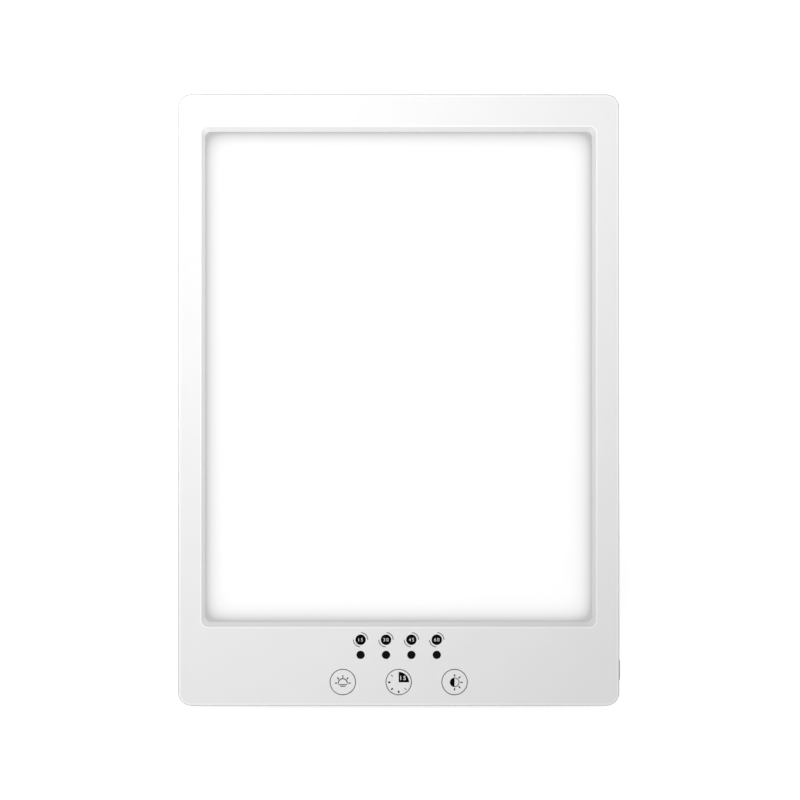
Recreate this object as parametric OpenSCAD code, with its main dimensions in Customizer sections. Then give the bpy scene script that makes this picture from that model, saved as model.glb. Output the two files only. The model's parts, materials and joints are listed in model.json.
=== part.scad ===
// Light therapy lamp: a slim lit panel that leans back on a folding leg.
//
// Every sub-part is drawn lying face up on a bench: X runs across the face, Y runs up the face
// from the bottom edge, and Z runs from the rear face (0) to the front face (body_t).
// in_use() then stands the lamp on its feet, with the origin at the centre of its footprint.

/* [Body] */
// Width of the face
body_w = 166; // [160:1:176]
// Height of the face
body_h = 230; // [228:1:240]
// Thickness from rear face to front face
body_t = 20; // [20:0.5:22]
// Corner radius of the face
corner_r = 5; // [5:0.5:6]
// Radius of the front edge
front_edge_r = 1.1; // [0.8:0.1:1.4]
// Radius of the rear edge
rear_edge_r = 1.5; // [1:0.1:1.8]
// Thickness of the side walls
wall = 2; // [2:0.1:2.2]
// Thickness of the rear wall
rear_wall = 1.6; // [1.4:0.1:1.8]
// Height above the rear face where the bezel meets the rear cover
split_z = 13.5; // [13.2:0.1:13.8]
// Height above the rear face where the tapered flank starts
bevel_z = 7.5; // [7.2:0.1:7.6]

/* [Stance] */
// Angle that the face leans back from upright
lean = 20; // [18:1:22]
// Angle between the open leg and the rear face
leg_open = 28; // [26:1:30]
// Height of the leg's hinge up the face
hinge_y = 130; // [126:1:134]
// How far the rubber feet stand proud of the flank
foot_proud = 0.6; // [0.4:0.1:0.8]

/* [Window] */
// Width of the lit window
window_w = 145.4; // [140:0.2:146]
// Height of the lit window
window_h = 184.2; // [176:0.2:185]
// Height of the window's bottom edge above the lamp's bottom edge
window_y = 31.6; // [31.4:0.1:32]
// Corner radius of the window
window_r = 2; // [1.5:0.1:3]
// Width of the sloped lip along the sides of the window
lip_side = 1.5; // [1:0.1:2]
// Width of the sloped lip along the top and bottom of the window
lip_end = 1.9; // [1:0.1:2.4]
// How far the sloped lip drops below the front face
lip_drop = 1.6; // [1:0.1:1.8]

/* [Controls] */
// Height of the touch keys above the bottom edge
key_y = 9; // [8.8:0.1:9.4]
// Distance between touch keys
key_pitch = 21; // [19:0.5:22]
// Height of the timer lamps above the bottom edge
lamp_y = 19.2; // [19:0.1:19.4]
// Distance between timer lamps
lamp_pitch = 9.54; // [9:0.02:9.6]
// Radius of a timer lamp's lens
lamp_r = 1.5; // [1.3:0.1:1.6]
// Height of the side button's middle above the bottom edge
button_y = 13; // [12.5:0.1:13.5]
// Length of the side button
button_l = 8.1; // [7:0.1:8.4]
// Thickness of the side button
button_t = 3.6; // [3:0.1:3.8]
// How far the side button stands proud of the wall
button_proud = 0.65; // [0.6:0.05:1]

/* [Leg] */
// Width of the leg
leg_w = 54; // [50:1:56]
// Thickness of the leg
leg_t = 4; // [3.8:0.1:4]
// Radius of the hinge pins
pin_r = 1.25; // [1:0.05:1.25]

/* [Light engine] */
// Columns of light-emitting diodes
led_columns = 8; // [6:1:8]
// Rows of light-emitting diodes
led_rows = 10; // [8:1:10]

/* [Hidden] */
$fn = 48;
eps = 0.01;

// Levels above the rear face
bezel_in_z = body_t - 2.2; // inner face of the bezel's front wall
gasket_t = 0.4;
plate_t = 2;
film_t = 0.3;
tray_t = 0.8;
plate_z = bezel_in_z - gasket_t - plate_t;
film_z = plate_z - film_t;
led_board_z = 6.8;
led_board_t = 1.2;
tray_z = led_board_z + led_board_t;
board_z = 11.4; // rear face of the control board
board_t = 1.6;
board_top_z = board_z + board_t;

// The tapered flank turns in by the lean, so that it lies flat on the table in use
flank_in = bevel_z * tan(lean);
wall_in = wall / cos(lean);
cavity_r = corner_r - wall;
cavity_bevel_z = bevel_z + (wall_in - wall) / tan(lean);
cavity_floor_u = corner_r - wall_in - (bevel_z - rear_wall) * tan(lean);

// Centre of the rear edge's radius, and where that radius meets the flank
rear_c_z = rear_edge_r;
rear_c_u = corner_r - (bevel_z - rear_c_z) * tan(lean) - rear_edge_r / cos(lean);
flank_u = rear_c_u + rear_edge_r * cos(lean);
flank_z = rear_c_z - rear_edge_r * sin(lean);

// Seam between the bezel and the rear cover
seam = 0.3;
tongue_t = 1.1;
tongue_gap = 0.1;
tongue_h = 1.5;
tongue_base = 1;
snap_ys = [60, 124, 188];
snap_l = 10;
snap_t = 0.6;
snap_lift = 0.5; // above the seam
snap_root = 0.4;
snap_reach = 0.75;
broken = 0.25; // broken edge round the front of the window

// Diffuser plate and the rib that holds it
plate_lap = 4;
plate_w = window_w + 2 * plate_lap;
plate_h = window_h + 2 * plate_lap;
plate_y = window_y + window_h / 2;
rib_t = 1.2;
rib_gap = 0.2;
rib_z = 12;
gasket_w = plate_lap - 1.5;
film_gap = 0.2;
plate_r = 1;

// Reflector tray, and the light-emitting diodes on their board
tray_top_w = window_w + 1;
tray_top_h = window_h + 1;
tray_slope = 8;
tray_wall = 1.1;
led_board_w = 150;
led_board_h = 188;
led_pitch_x = 15.6;
led_pitch_y = 16.4;
led_l = 3.5;
led_w = 2.8;
led_t = 0.75;
led_gap = 0.4; // round each diode in the tray

// Case screws and their bosses
screw_x = 71.5;
screw_low_y = 22.3;
screw_high_y = body_h - 6.6;
screw_r = 1.45;
screw_head_r = 2.3;
screw_head_t = 1.8;
screw_floor_z = 4;
screw_join_z = 9;
screw_l = 11;
screw_gap = 0.2;
thread_gap = 0.02; // pilot holes are this much wider than the screw's core
pilot_end = 0.4; // depth of a pilot hole past the screw's point
boss_gap = 0.1; // between the bosses of the bezel and the cover
cover_boss_r = 3.4;
bezel_boss_r = 2.4;

// Screws of the two boards
board_screw_r = 0.95;
board_screw_l = 4;
board_screw_head_r = 1.9;
board_screw_head_t = 1.2;
led_screw_x = 71;
led_screw_ys = [40, 124, 208];
control_screw_x = 57;
control_screw_ys = [6.8, 22.8];
led_boss_r = 3.2;
stand_x = 40; // plain stands under the middle of the light board
stand_ys = [80, 168];
stand_r = 2.2;

// Stiffening ribs on the inside of the rear wall
stiff_xs = [40, 60];
stiff_ys = [40, 80, 105, 142, 168, 212];
stiff_t = 1;
stiff_h = 1.6;
stiff_end_x = body_w / 2 - flank_in - 0.7;

// Control board, with an arm that reaches the side button
board_w = 120;
board_y0 = 4.2;
board_y1 = 25.6;
arm_x = 77.8;
arm_y0 = 7.5;
arm_y1 = 18.2;

// Touch pads and timer lamps on the control board
touch_r = 4.2;
lens_gap = 0.05;
lens_strip_w = 5;
lens_strip_t = 0.6;
shroud_w = 5.6;
shroud_l = 3 * lamp_pitch + 6;
shroud_bore_r = 1.6;
lamp_led = [1.6, 0.8, 0.7];

// Driver parts on the rear of the control board
chip_y = 15;
chip_w = 7;
chip_t = 1;
chip_lift = 0.1;
chip_pin_w = 0.4;
chip_pin_l = 1.4;
coil_x = 45;
coil_y = 12;
coil_w = 8;
coil_r = 1.6;
coil_t = 4.2;
coil_hole_r = 1.2;
can_xs = [33, 53.4];
can_r = 3.1;
can_t = 3.6;
can_neck_r = 2.9;
can_base_w = 6.6;
can_base_t = 0.8;

// Inlet for a barrel plug, 5.5 mm outside and 2.1 mm inside
inlet_x = -48;
inlet_y = 18;
inlet_r = 3.1;
inlet_pin_r = 1;
inlet_pin_z = 1.8;
inlet_root_r = 1.5;
inlet_root_t = 0.8;
inlet_snout_r = 4.1;
inlet_mouth_z = 0.4;
inlet_seat_z = 2.2;
inlet_floor_z = 10.2;
inlet_block = 9;
inlet_gap = 0.15;
inlet_collar = 1.5;

// Side button and its switch
button_z = board_z - 1.5;
button_gap = 0.3;
button_flange = 0.9;
flange_grow_l = 2.4;
flange_grow_t = 0.2;
crown_h = 0.3;
crown_in = 0.3;
button_in_x = body_w / 2 - wall - 1;
switch_x = 77.4;
switch_l = 4.6;
switch_w = 6.4;
switch_wall = 1.4;
plunger_w = 1.7;
plunger_t = 1.4;
plunger_in = 0.8;
plunger_gap = 0.15;
plunger_hole = 2.2;

// Leg, its pocket and its hinge
leg_lift = 0.3; // the folded leg lies this far below flush
hinge_z = leg_lift + leg_t / 2;
pocket_z = hinge_z + leg_t / 2 + 0.3;
pocket_gap = 0.5;
pocket_wall = 1.6;
heel_l = 5;
stop_gap = 0.1;
leg_skin = 1.6;
leg_rim = 1.8;
leg_rib = 1.2;
leg_bays_x = 4;
leg_bays_y = 5;
leg_corner_r = 6;
leg_edge_r = 0.7; // along both long edges
hinge_block = 5;
leg_end_block = 12; // solid length above the foot
bay_w = (leg_w - 2 * leg_rim - (leg_bays_x - 1) * leg_rib) / leg_bays_x;
pad_l = 3;
pad_sweep = 0.4;
pad_tongue_w = 36;
pad_tongue_l = 3;
pad_tongue_t = 1.2;
pad_tongue_root = 1;
pad_tongue_gap = 0.05;
pin_gap = 0.05;
pin_l = 16;
pin_in = 6.5;
washer_t = 0.4;
washer_r = 2.1;
hinge_boss_x = leg_w / 2 + pocket_gap + pocket_wall / 2;
hinge_boss_l = 8;
hinge_boss_w = 7;
notch_y = 62;
notch_l = 20;
notch_w = 12;
notch_z = 3.2;

// Vents and rubber feet
vent_pitch = 8;
vent_l = 20;
vent_w = 2.4;
vent_y = 196;
low_vent_x = 48;
low_vent_y = 50;
low_vent_l = 12;
foot_x = 50;
foot_l = 32;
foot_w = 5;
foot_slot = 0.7;
foot_gap = 0.05;
foot_in_z = (bevel_z + flank_z) / 2;
foot_in_y = (bevel_z - foot_in_z) * tan(lean);

// In use, the bottom flank's feet and the open leg stand on the table
table_h = bevel_z * sin(lean) - foot_proud;
hinge_h = hinge_y * cos(lean) + hinge_z * sin(lean) - table_h;
leg_tip = leg_open - lean; // the open leg's angle from upright
leg_l = hinge_h / cos(leg_tip);
bay_h = (leg_l - hinge_block - leg_end_block - (leg_bays_y - 1) * leg_rib) / leg_bays_y;
front_reach = body_t * cos(lean) - front_edge_r * (cos(lean) + sin(lean) - 1);
rear_reach = (body_h - flank_in) * sin(lean);
origin_y = (rear_reach - front_reach) / 2;

// Lead from the control board's socket to the light board: its (y, z) points, by hand
lead_x = -34;
lead_r = 0.6;
lead_pitch = 2.5;
lead_sides = 6;
lead_hole_r = lead_r + 0.05;
lead_y = 36.2; // where the lead is soldered into the light board
lead_path = [
  [15.2, 9.2], [17.4, 9.2], [20, 8.6], [22.6, 7.2], [25, 5.6], [27.6, 4.2], [30.4, 3.2],
  [33, 3], [35, 3.6], [36, 4.8], [lead_y, 6.2], [lead_y, 7.3],
];

// Socket and plug of the lead: sizes in (x, y, z), measured back from the board
socket_y = 9;
socket = [7.2, 6, 4.2];
socket_mouth = [6, 10, 3];
socket_wall_y = 1.2;
plug = [5.8, 5.8, 2.8];
plug_y = 10.4;
plug_gap = 0.8; // from the board to the plug
plug_bore_y = 14.3;

// ---------------------------------------------------------------- placing

// From the bench to the table: lean the lamp back, and put the origin under its middle
module in_use() {
  translate([0, -origin_y, -table_h]) rotate([90 - lean, 0, 0]) children();
}

// The open leg's own frame: the hinge axis at the origin, and the leg along -Y
module at_hinge() {
  translate([0, hinge_y, hinge_z]) rotate([leg_open, 0, 0]) children();
}

module both_sides() {
  children();
  mirror([1, 0, 0]) children();
}

module screw_places() {
  for (x = [-screw_x, screw_x], y = [screw_low_y, screw_high_y]) translate([x, y, 0]) children();
}

module led_screw_places() {
  for (x = [-led_screw_x, led_screw_x], y = led_screw_ys) translate([x, y, 0]) children();
}

module control_screw_places() {
  for (x = [-control_screw_x, control_screw_x], y = control_screw_ys)
    translate([x, y, 0]) children();
}

module key_places() {
  for (k = [-1:1]) translate([k * key_pitch, key_y, 0]) children();
}

module lamp_places() {
  for (k = [-1.5:1:1.5]) translate([k * lamp_pitch, lamp_y, 0]) children();
}

module led_places() {
  for (i = [0:led_columns - 1], j = [0:led_rows - 1])
    translate([
      (i - (led_columns - 1) / 2) * led_pitch_x,
      plate_y + (j - (led_rows - 1) / 2) * led_pitch_y, 0,
    ]) children();
}

// ---------------------------------------------------------------- shapes that repeat

module rounded_rect(w, h, r) {
  square([w - 2 * r, h], center = true);
  square([w, h - 2 * r], center = true);
  for (x = [-1, 1], y = [-1, 1]) translate([x * (w / 2 - r), y * (h / 2 - r)]) circle(r);
}

module stadium(l, w) {
  square([l - w, w], center = true);
  for (x = [-1, 1]) translate([x * (l - w) / 2, 0]) circle(w / 2);
}

// Carries an edge profile round the face. The profile is drawn in (u, z), where u runs outwards
// from the axis of a corner and reaches r at the side.
module edge_sweep(w, h, r) {
  translate([0, body_h / 2, 0]) for (k = [0:3]) {
    across = (k % 2 == 0) ? w : h;
    along = (k % 2 == 0) ? h : w;
    rotate([0, 0, 90 * k]) {
      translate([across / 2 - r, 0, 0]) rotate([90, 0, 0])
        linear_extrude(along - 2 * r, center = true) children();
      translate([across / 2 - r, along / 2 - r, 0]) rotate_extrude(angle = 90) children();
    }
  }
}

// A slab from z0 to z1 whose edge has the given profile
module edge_slab(w, h, r, z0, z1) {
  edge_sweep(w, h, r) children();
  translate([-(w / 2 - r), body_h / 2 - (h / 2 - r), z0]) cube([w - 2 * r, h - 2 * r, z1 - z0]);
}

module frame_plate(w, h, rim, t) {
  linear_extrude(t) difference() {
    square([w, h], center = true);
    square([w - 2 * rim, h - 2 * rim], center = true);
  }
}

// A pan-head screw: its head is seated at z = 0 and its shank points up
module pan_screw(r, l, head_r, head_t) {
  slot = head_r * 0.24;
  difference() {
    translate([0, 0, -head_t]) {
      cylinder(r1 = head_r * 0.86, r2 = head_r, h = head_t * 0.35);
      translate([0, 0, head_t * 0.35]) cylinder(r = head_r, h = head_t * 0.65);
    }
    for (a = [0, 90]) rotate([0, 0, a]) translate([0, 0, -head_t])
      cube([head_r * 1.1, slot, head_t], center = true);
  }
  cylinder(r = r, h = l - r);
  translate([0, 0, l - r]) cylinder(r1 = r, r2 = r * 0.4, h = r);
}

// ---------------------------------------------------------------- housing

module bezel_edge() {
  polygon([
    [0, split_z], [corner_r - seam, split_z], [corner_r, split_z + seam],
    [corner_r, body_t - front_edge_r], [corner_r - front_edge_r, body_t], [0, body_t],
  ]);
  translate([corner_r - front_edge_r, body_t - front_edge_r]) circle(front_edge_r);
}

module window_at(z, grow_side, grow_end, r) {
  translate([0, plate_y, z]) linear_extrude(eps)
    rounded_rect(window_w + 2 * grow_side, window_h + 2 * grow_end, r, $fn = 32);
}

// Opening of the window: straight through, then a sloped lip and a broken edge in front
module window_cut() {
  lip_r = window_r + 0.5;
  translate([0, plate_y, bezel_in_z - 1]) linear_extrude(body_t)
    rounded_rect(window_w, window_h, window_r);
  hull() {
    window_at(body_t - lip_drop, 0, 0, window_r);
    window_at(body_t - broken, lip_side, lip_end, lip_r);
  }
  hull() {
    window_at(body_t - broken, lip_side, lip_end, lip_r);
    window_at(body_t + broken, lip_side + 2 * broken, lip_end + 2 * broken, lip_r + 2 * broken);
  }
}

// Ridges that snap the housing together, and with more room the slots that they sit in
module snaps(room) {
  x = body_w / 2 - wall - tongue_gap - snap_root;
  for (y = snap_ys) both_sides()
    translate([x, y - snap_l / 2 - room, split_z + snap_lift - room])
      cube([snap_reach + room, snap_l + 2 * room, snap_t + 2 * room]);
}

module front_bezel() in_use() color("whitesmoke") difference() {
  union() {
    difference() {
      edge_slab(body_w, body_h, corner_r, split_z, body_t) bezel_edge();
      translate([0, body_h / 2, split_z - 1]) linear_extrude(bezel_in_z - split_z + 1)
        rounded_rect(body_w - 2 * wall, body_h - 2 * wall, cavity_r);
      snaps(0.1);
    }
    translate([0, plate_y, rib_z])
      frame_plate(plate_w + 2 * (rib_gap + rib_t), plate_h + 2 * (rib_gap + rib_t), rib_t,
        bezel_in_z - rib_z + eps);
    screw_places() translate([0, 0, screw_join_z + boss_gap])
      cylinder(r = bezel_boss_r, h = bezel_in_z - screw_join_z);
    control_screw_places() translate([0, 0, board_top_z])
      cylinder(r = stand_r, h = bezel_in_z - board_top_z + eps);
  }
  window_cut();
  screw_places()
    cylinder(r = screw_r + thread_gap, h = screw_floor_z + screw_l + pilot_end);
  control_screw_places()
    cylinder(r = board_screw_r + thread_gap, h = board_z + board_screw_l + pilot_end);
  lamp_places() cylinder(r = lamp_r + lens_gap, h = body_t + 1);
}

module cover_edge() {
  polygon([
    [0, 0], [rear_c_u, 0], [flank_u, flank_z], [corner_r, bevel_z],
    [corner_r, split_z - seam], [corner_r - seam, split_z], [0, split_z],
  ]);
  intersection() {
    translate([rear_c_u, rear_c_z]) circle(rear_edge_r);
    square(corner_r);
  }
}

module cover_cavity_edge() {
  polygon([
    [0, rear_wall], [cavity_floor_u, rear_wall], [cavity_r, cavity_bevel_z],
    [cavity_r, split_z + 1], [0, split_z + 1],
  ]);
}

// The cover's tongue, which the bezel's wall slides over
module tongue_edge() {
  outer = cavity_r - tongue_gap;
  inner = outer - tongue_t;
  root = cavity_r + 0.2;
  polygon([
    [inner, split_z - tongue_base], [root, split_z - tongue_base], [root, split_z - 0.1],
    [outer, split_z - 0.1], [outer, split_z + tongue_h - seam],
    [outer - seam, split_z + tongue_h], [inner, split_z + tongue_h],
  ]);
}

// Outline of the leg: the hinge axis is at y = 0, and the foot's end at -leg_l
module leg_outline(top, grow = 0, foot = 0) {
  w = leg_w + 2 * grow;
  r = leg_corner_r + grow;
  end = -leg_l - foot;
  translate([-w / 2, end + r]) square([w, top - end - r]);
  translate([r - w / 2, end]) square([w - 2 * r, top - end]);
  for (x = [-1, 1]) translate([x * (w / 2 - r), end + r]) circle(r);
}

module pocket_outline(grow = 0) {
  leg_outline(heel_l + 1 + grow, pocket_gap + grow, pocket_gap + pad_sweep + grow);
}

// Hollow beside the leg, where a fingertip reaches its edge
module finger_notch(grow = 0) {
  rotate(90) stadium(notch_l + 2 * grow, notch_w + 2 * grow);
}

// Foot pads on the bottom flank, and with more room the slots that hold them
module foot_pads(room = 0) {
  both_sides() translate([foot_x, foot_in_y, foot_in_z]) rotate([90 + lean, 0, 0])
    translate([0, 0, -foot_slot]) linear_extrude(foot_slot + foot_proud)
      stadium(foot_l + 2 * room, foot_w + 2 * room);
}

module vent_slots() {
  for (k = [-4:4]) translate([k * vent_pitch, vent_y, -1])
    linear_extrude(rear_wall + 2) rotate(90) stadium(vent_l, vent_w);
  for (k = [0:3]) both_sides() translate([low_vent_x + k * vent_pitch, low_vent_y, -1])
    linear_extrude(rear_wall + 2) rotate(90) stadium(low_vent_l, vent_w);
}

// Ribs that stiffen the rear wall, clear of the leg's pocket and the vents
module stiffeners() {
  low = stiff_ys[0];
  high = stiff_ys[len(stiff_ys) - 1];
  for (x = stiff_xs) both_sides() translate([x - stiff_t / 2, low, rear_wall - eps])
    cube([stiff_t, high - low, stiff_h]);
  for (y = stiff_ys) both_sides() translate([stiff_xs[0], y - stiff_t / 2, rear_wall - eps])
    cube([stiff_end_x - stiff_xs[0], stiff_t, stiff_h]);
}

module rear_cover() in_use() color("whitesmoke") difference() {
  union() {
    difference() {
      edge_slab(body_w, body_h, corner_r, 0, split_z) cover_edge();
      edge_slab(body_w - 2 * wall, body_h - 2 * wall, cavity_r, rear_wall, split_z + 1)
        cover_cavity_edge();
    }
    edge_sweep(body_w, body_h, corner_r) tongue_edge();
    snaps(0);
    translate([0, hinge_y, 0]) linear_extrude(pocket_z + pocket_wall) pocket_outline(pocket_wall);
    translate([leg_w / 2 + 1, notch_y, 0]) linear_extrude(notch_z + pocket_wall)
      finger_notch(pocket_wall);
    both_sides() translate([hinge_boss_x, hinge_y - hinge_boss_w / 2, 0])
      cube([hinge_boss_l, hinge_boss_w, pocket_z + pocket_wall]);
    screw_places() cylinder(r = cover_boss_r, h = screw_join_z);
    led_screw_places() cylinder(r = led_boss_r, h = led_board_z);
    translate([inlet_x, inlet_y, 0]) cylinder(r = inlet_snout_r + inlet_collar, h = inlet_seat_z);
    for (y = stand_ys) both_sides() translate([stand_x, y, 0])
      cylinder(r = stand_r, h = led_board_z);
    stiffeners();
  }
  translate([0, hinge_y, -1]) linear_extrude(pocket_z + 1) pocket_outline();
  both_sides() translate([leg_w / 2, hinge_y, hinge_z]) rotate([0, 90, 0])
    cylinder(r = pin_r, h = hinge_boss_x + hinge_boss_l - leg_w / 2 + 1);
  translate([leg_w / 2 + 1, notch_y, -1]) linear_extrude(notch_z + 1) finger_notch();
  screw_places() translate([0, 0, -1]) {
    cylinder(r = screw_r + screw_gap, h = screw_join_z + 2);
    cylinder(r = screw_head_r + screw_gap, h = screw_floor_z + 1);
  }
  led_screw_places() translate([0, 0, tray_z - board_screw_l - pilot_end])
    cylinder(r = board_screw_r, h = board_screw_l);
  translate([inlet_x, inlet_y, -1])
    cylinder(r = inlet_snout_r + inlet_gap, h = inlet_seat_z + 2);
  translate([body_w / 2 - wall - 1, button_y, button_z]) rotate([90, 0, 90])
    linear_extrude(wall + 3) stadium(button_l + 2 * button_gap, button_t + 2 * button_gap);
  foot_pads(foot_gap);
  vent_slots();
}

module case_screws() in_use() color("silver") screw_places() translate([0, 0, screw_floor_z])
  pan_screw(screw_r, screw_l, screw_head_r, screw_head_t);

module rubber_feet() in_use() color("dimgray") foot_pads();

// ---------------------------------------------------------------- light engine

module diffuser_gasket() in_use() color("white") translate([0, plate_y, bezel_in_z - gasket_t])
  frame_plate(plate_w, plate_h, gasket_w, gasket_t);

module diffuser_plate() in_use() color("snow") translate([0, plate_y, plate_z])
  linear_extrude(plate_t) rounded_rect(plate_w, plate_h, plate_r);

module diffusion_film() in_use() color("ivory") translate([0, plate_y, film_z])
  linear_extrude(film_t)
    rounded_rect(plate_w - 2 * film_gap, plate_h - 2 * film_gap, plate_r);

module tray_shell(grow, z0, z1) {
  top_w = tray_top_w + 2 * grow;
  top_h = tray_top_h + 2 * grow;
  hull() {
    translate([0, plate_y, z1]) linear_extrude(eps) square([top_w, top_h], center = true);
    translate([0, plate_y, z0]) linear_extrude(eps)
      square([top_w - 2 * tray_slope, top_h - 2 * tray_slope], center = true);
  }
}

module reflector_tray() in_use() color("white") difference() {
  union() {
    tray_shell(tray_wall, tray_z, film_z - tray_t);
    translate([0, plate_y, film_z - tray_t]) linear_extrude(tray_t)
      square([plate_w, plate_h], center = true);
  }
  tray_shell(0, tray_z + tray_t, film_z + eps);
  led_places() translate([0, 0, tray_z])
    cube([led_l + 2 * led_gap, led_w + 2 * led_gap, 4 * tray_t], center = true);
}

module led_board() in_use() color("lightgray") difference() {
  translate([-led_board_w / 2, plate_y - led_board_h / 2, led_board_z])
    cube([led_board_w, led_board_h, led_board_t]);
  led_screw_places() cylinder(r = board_screw_r + screw_gap, h = body_t);
  for (side = [-1, 1]) translate([lead_x + side * lead_pitch / 2, lead_y, 0])
    cylinder(r = lead_hole_r, h = body_t);
}

module leds() in_use() color("khaki") led_places()
  translate([-led_l / 2, -led_w / 2, led_board_z + led_board_t]) cube([led_l, led_w, led_t]);

module led_board_screws() in_use() color("silver") led_screw_places()
  translate([0, 0, led_board_z + led_board_t]) rotate([180, 0, 0])
    pan_screw(board_screw_r, board_screw_l, board_screw_head_r, board_screw_head_t);

// ---------------------------------------------------------------- controls

module control_board() in_use() color("seagreen") difference() {
  union() {
    translate([-board_w / 2, board_y0, board_z]) cube([board_w, board_y1 - board_y0, board_t]);
    translate([0, arm_y0, board_z]) cube([arm_x, arm_y1 - arm_y0, board_t]);
  }
  control_screw_places() cylinder(r = board_screw_r + screw_gap, h = body_t);
}

module control_board_screws() in_use() color("silver") control_screw_places()
  translate([0, 0, board_z])
    pan_screw(board_screw_r, board_screw_l, board_screw_head_r, board_screw_head_t);

module touch_pads() in_use() color("darkgray") key_places() translate([0, 0, board_top_z])
  cylinder(r = touch_r, h = bezel_in_z - board_top_z);

module indicator_lenses() in_use() color("black") {
  lamp_places() translate([0, 0, bezel_in_z - eps])
    cylinder(r = lamp_r, h = body_t - bezel_in_z - lens_gap);
  translate([0, lamp_y, bezel_in_z - lens_strip_t]) linear_extrude(lens_strip_t)
    stadium(3 * lamp_pitch + lens_strip_w, lens_strip_w);
}

module indicator_leds() in_use() color("gold") lamp_places()
  translate([-lamp_led.x / 2, -lamp_led.y / 2, board_top_z]) cube(lamp_led);

// Keeps each timer lamp's light to its own lens
module indicator_shroud() in_use() color("dimgray") difference() {
  translate([0, lamp_y, board_top_z]) linear_extrude(bezel_in_z - lens_strip_t - board_top_z)
    square([shroud_l, shroud_w], center = true);
  lamp_places() cylinder(r = shroud_bore_r, h = body_t);
}

module controller_chip() in_use() color("black") translate([0, chip_y, board_z]) {
  translate([-chip_w / 2, -chip_w / 2, -chip_lift - chip_t]) cube([chip_w, chip_w, chip_t]);
  for (k = [-3:3], side = [-1, 1])
    translate([k, side * (chip_w + chip_pin_w) / 2, -chip_pin_w / 2])
      cube([chip_pin_w, chip_pin_l, chip_pin_w], center = true);
}

module driver_inductor() in_use() color("dimgray")
  translate([coil_x, coil_y, board_z - coil_t]) difference() {
    linear_extrude(coil_t) rounded_rect(coil_w, coil_w, coil_r);
    translate([0, 0, -1]) cylinder(r = coil_hole_r, h = 1.4);
  }

module driver_capacitors() in_use() color("silver") for (x = can_xs)
  translate([x, coil_y, board_z]) mirror([0, 0, 1]) {
    translate([-can_base_w / 2, -can_base_w / 2, 0]) cube([can_base_w, can_base_w, can_base_t]);
    cylinder(r = can_neck_r, h = 2 * can_base_t);
    translate([0, 0, 2 * can_base_t]) cylinder(r = can_r, h = can_t);
  }

module power_switch() in_use() color("dimgray") translate([switch_x, button_y, button_z])
  difference() {
    translate([-switch_l, -switch_w / 2, -switch_wall])
      cube([switch_l, switch_w, board_z - button_z + switch_wall]);
    cube([
      2 * plunger_hole, plunger_w + 2 * plunger_gap, plunger_t + 2 * plunger_gap,
    ], center = true);
  }

// The plunger sits in the switch's mouth, and its outer end bears on the button
module switch_plunger() in_use() color("black")
  translate([switch_x - plunger_in, button_y - plunger_w / 2, button_z - plunger_t / 2])
    cube([button_in_x - switch_x + plunger_in, plunger_w, plunger_t]);

module power_button() in_use() color("darkgray")
  translate([button_in_x, button_y, button_z]) rotate([90, 0, 90]) {
    crown_z = body_w / 2 + button_proud - crown_h - button_in_x;
    linear_extrude(button_flange) stadium(button_l + flange_grow_l, button_t + flange_grow_t);
    linear_extrude(crown_z) stadium(button_l, button_t);
    translate([0, 0, crown_z]) hull() {
      linear_extrude(eps) stadium(button_l, button_t, $fn = 32);
      linear_extrude(crown_h)
        stadium(button_l - 2 * crown_in, button_t - 2 * crown_in, $fn = 32);
    }
  }

// ---------------------------------------------------------------- power inlet

// Barrel socket in the rear face: a square body on the board, with a round mouth
module dc_inlet() in_use() color("black") translate([inlet_x, inlet_y, 0]) difference() {
  union() {
    translate([-inlet_block / 2, -inlet_block / 2, inlet_seat_z])
      cube([inlet_block, inlet_block, board_z - inlet_seat_z]);
    translate([0, 0, inlet_mouth_z]) cylinder(r = inlet_snout_r, h = inlet_seat_z);
  }
  cylinder(r = inlet_r, h = inlet_floor_z);
  cylinder(r = inlet_root_r, h = inlet_floor_z + inlet_root_t);
}

module dc_inlet_pin() in_use() color("gold") translate([inlet_x, inlet_y, 0]) {
  dome = inlet_pin_r * 0.4;
  translate([0, 0, inlet_pin_z - dome])
    cylinder(r1 = inlet_pin_r - dome, r2 = inlet_pin_r, h = dome);
  translate([0, 0, inlet_pin_z]) cylinder(r = inlet_pin_r, h = inlet_floor_z - inlet_pin_z);
  translate([0, 0, inlet_floor_z]) cylinder(r = inlet_root_r, h = inlet_root_t);
}

// Socket on the rear of the control board, open towards the light board
module lead_socket() in_use() color("ivory") translate([lead_x, socket_y, board_z]) difference() {
  translate([-socket.x / 2, 0, -socket.z]) cube(socket);
  translate([-socket_mouth.x / 2, socket_wall_y, -(socket.z + socket_mouth.z) / 2])
    cube(socket_mouth);
}

module lead_plug() in_use() color("white") translate([lead_x, 0, board_z]) difference() {
  translate([-plug.x / 2, plug_y, -plug.z - plug_gap]) cube(plug);
  for (side = [-1, 1]) translate([side * lead_pitch / 2, plug_bore_y, -plug_gap - plug.z / 2])
    rotate([-90, 0, 0]) cylinder(r = lead_hole_r, h = plug.y);
}

module lead_run(x) {
  points = [for (p = lead_path) [lead_x + x, p[0], p[1]]];
  for (k = [0:len(points) - 2]) hull() for (p = [points[k], points[k + 1]])
    translate(p) sphere(lead_r, $fn = lead_sides);
}

module led_lead_positive() in_use() color("red") lead_run(-lead_pitch / 2);

module led_lead_negative() in_use() color("black") lead_run(lead_pitch / 2);

// ---------------------------------------------------------------- folding leg

module hinge_pins() in_use() color("silver") both_sides()
  translate([leg_w / 2 - pin_in, hinge_y, hinge_z]) rotate([0, 90, 0])
    cylinder(r = pin_r, h = pin_l);

module hinge_washers() in_use() color("white") both_sides()
  translate([leg_w / 2 + pocket_gap - washer_t, hinge_y, hinge_z])
    rotate([0, 90, 0]) difference() {
      cylinder(r = washer_r, h = washer_t);
      translate([0, 0, -1]) cylinder(r = pin_r + pin_gap, h = washer_t + 2);
    }

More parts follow.
